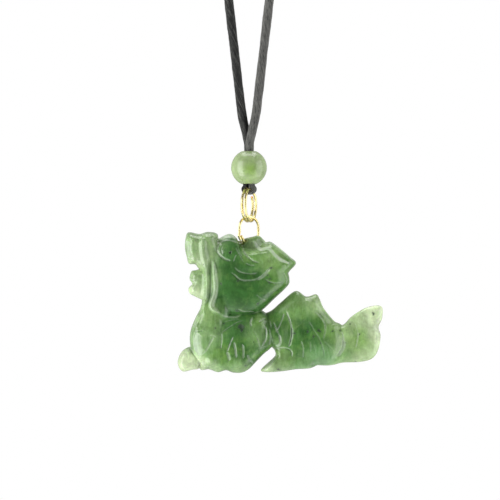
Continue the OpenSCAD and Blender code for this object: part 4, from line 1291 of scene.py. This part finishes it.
def make_room(front, back):
    """White room for the camera, dimmer on the camera's side than behind for what the piece mirrors."""
    world = bpy.data.worlds.new("white room")
    bpy.context.scene.world = world
    world.use_nodes = True
    t = Tree(world.node_tree)
    seen = t.node("ShaderNodeLightPath").outputs["Is Camera Ray"]
    towards = t.node("ShaderNodeTexCoord").outputs["Generated"]
    backwards = t.node("ShaderNodeSeparateXYZ", {0: towards}).outputs["Y"]
    room = t.mix(t.spread(backwards, -0.35, 0.45), grey(front), grey(back))
    t.put(world.node_tree.nodes["Background"].inputs["Color"], t.mix(seen, room, grey(1.0)))


def make_camera(settings):
    """Camera that looks along +Y at the middle of the photograph."""
    bead_low, bead_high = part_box("bead")
    lens = bpy.data.cameras.new("camera")
    lens.lens, lens.sensor_width = settings.lens, 36
    lens.clip_start, lens.clip_end = 0.01, 10
    camera = link("camera", lens)
    pixel = settings.distance * lens.sensor_width / lens.lens / PHOTO_PX
    camera.location = (RIGHT_OF_BEAD_PX * pixel, -settings.distance,
                       (bead_low.z + bead_high.z) / 2 - BELOW_BEAD_PX * pixel)
    camera.rotation_euler = (math.pi / 2, 0, 0)
    bpy.context.scene.camera = camera


def make_stage(settings):
    """Floor, room, two side boxes and a top box, and the camera."""
    bpy.context.scene.view_settings.view_transform = "Standard"
    make_floor(settings.floor_drop)
    make_room(settings.front, settings.surround)
    low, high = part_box("dragon")
    aim = Vector(((low.x + high.x) / 2, 0, (low.z + high.z) / 2))
    soft_box("left_box", aim, LEFT_BOX, settings.side_power)
    soft_box("right_box", aim, RIGHT_BOX, RIGHT_SHARE * settings.side_power)
    soft_box("top_box", aim, TOP_BOX, settings.top_power)
    make_camera(settings)


# Operators
class JADE_OT_cord(bpy.types.Operator):
    """Lay the cord's loop through the bead and the split ring"""
    bl_idname = "jade.cord"
    bl_label = "Lay cord"

    def execute(self, context):
        scene = context.scene
        make_cord(scene.jade_cord, scene.jade_bead, scene.jade_rings)
        return {"FINISHED"}


class JADE_OT_stage(bpy.types.Operator):
    """Set up the floor, the lights and the camera"""
    bl_idname = "jade.stage"
    bl_label = "Set stage"

    def execute(self, context):
        make_stage(context.scene.jade_stage)
        return {"FINISHED"}


class JADE_OT_dragon(bpy.types.Operator):
    """Carve the dragon from its forms, folds and cuts"""
    bl_idname = "jade.dragon"
    bl_label = "Carve dragon"

    def execute(self, context):
        scene = context.scene
        make_dragon(scene.jade_dragon, scene.jade_rings, scene.jade_stone)
        return {"FINISHED"}


class JADE_OT_rings(bpy.types.Operator):
    """Bend the split ring and the oval ring"""
    bl_idname = "jade.rings"
    bl_label = "Bend rings"

    def execute(self, context):
        make_split_ring(context.scene.jade_rings)
        make_oval_ring(context.scene.jade_rings)
        return {"FINISHED"}


class JADE_OT_bead(bpy.types.Operator):
    """Turn and drill the bead"""
    bl_idname = "jade.bead"
    bl_label = "Turn bead"

    def execute(self, context):
        make_bead(context.scene.jade_bead, context.scene.jade_stone)
        return {"FINISHED"}


class JADE_OT_sleeve(bpy.types.Operator):
    """Turn the sleeve that joins the cord's ends"""
    bl_idname = "jade.sleeve"
    bl_label = "Turn sleeve"

    def execute(self, context):
        make_sleeve(context.scene.jade_cord)
        return {"FINISHED"}


class JADE_PT_panel(bpy.types.Panel):
    """Lists the necklace's steps, sizes and colours"""
    bl_idname = "JADE_PT_panel"
    bl_label = "Jade dragon necklace"
    bl_space_type = "VIEW_3D"
    bl_region_type = "UI"
    bl_category = "Jade"

    def draw(self, context):
        for step in STEPS:
            self.layout.operator(step.bl_idname)
        for name, kind in SETTINGS.items():
            box = self.layout.box()
            box.label(text=name.replace("jade_", "").capitalize())
            for field in kind.__annotations__:
                box.prop(getattr(context.scene, name), field)


STEPS = [JADE_OT_cord, JADE_OT_stage, JADE_OT_dragon, JADE_OT_rings, JADE_OT_bead, JADE_OT_sleeve]
SETTINGS = {
    "jade_dragon": DragonSettings,
    "jade_stone": JadeSettings,
    "jade_rings": RingSettings,
    "jade_bead": BeadSettings,
    "jade_cord": CordSettings,
    "jade_stage": StageSettings,
}


def register():
    for kind in [*SETTINGS.values(), *STEPS, JADE_PT_panel]:
        bpy.utils.register_class(kind)
    for name, kind in SETTINGS.items():
        setattr(bpy.types.Scene, name, PointerProperty(type=kind))


def unregister():
    for name in SETTINGS:
        delattr(bpy.types.Scene, name)
    for kind in reversed([*SETTINGS.values(), *STEPS, JADE_PT_panel]):
        bpy.utils.unregister_class(kind)


def main():
    register()
    for step in STEPS:
        group, name = step.bl_idname.split(".")
        getattr(getattr(bpy.ops, group), name)()


if __name__ == "__main__":
    main()
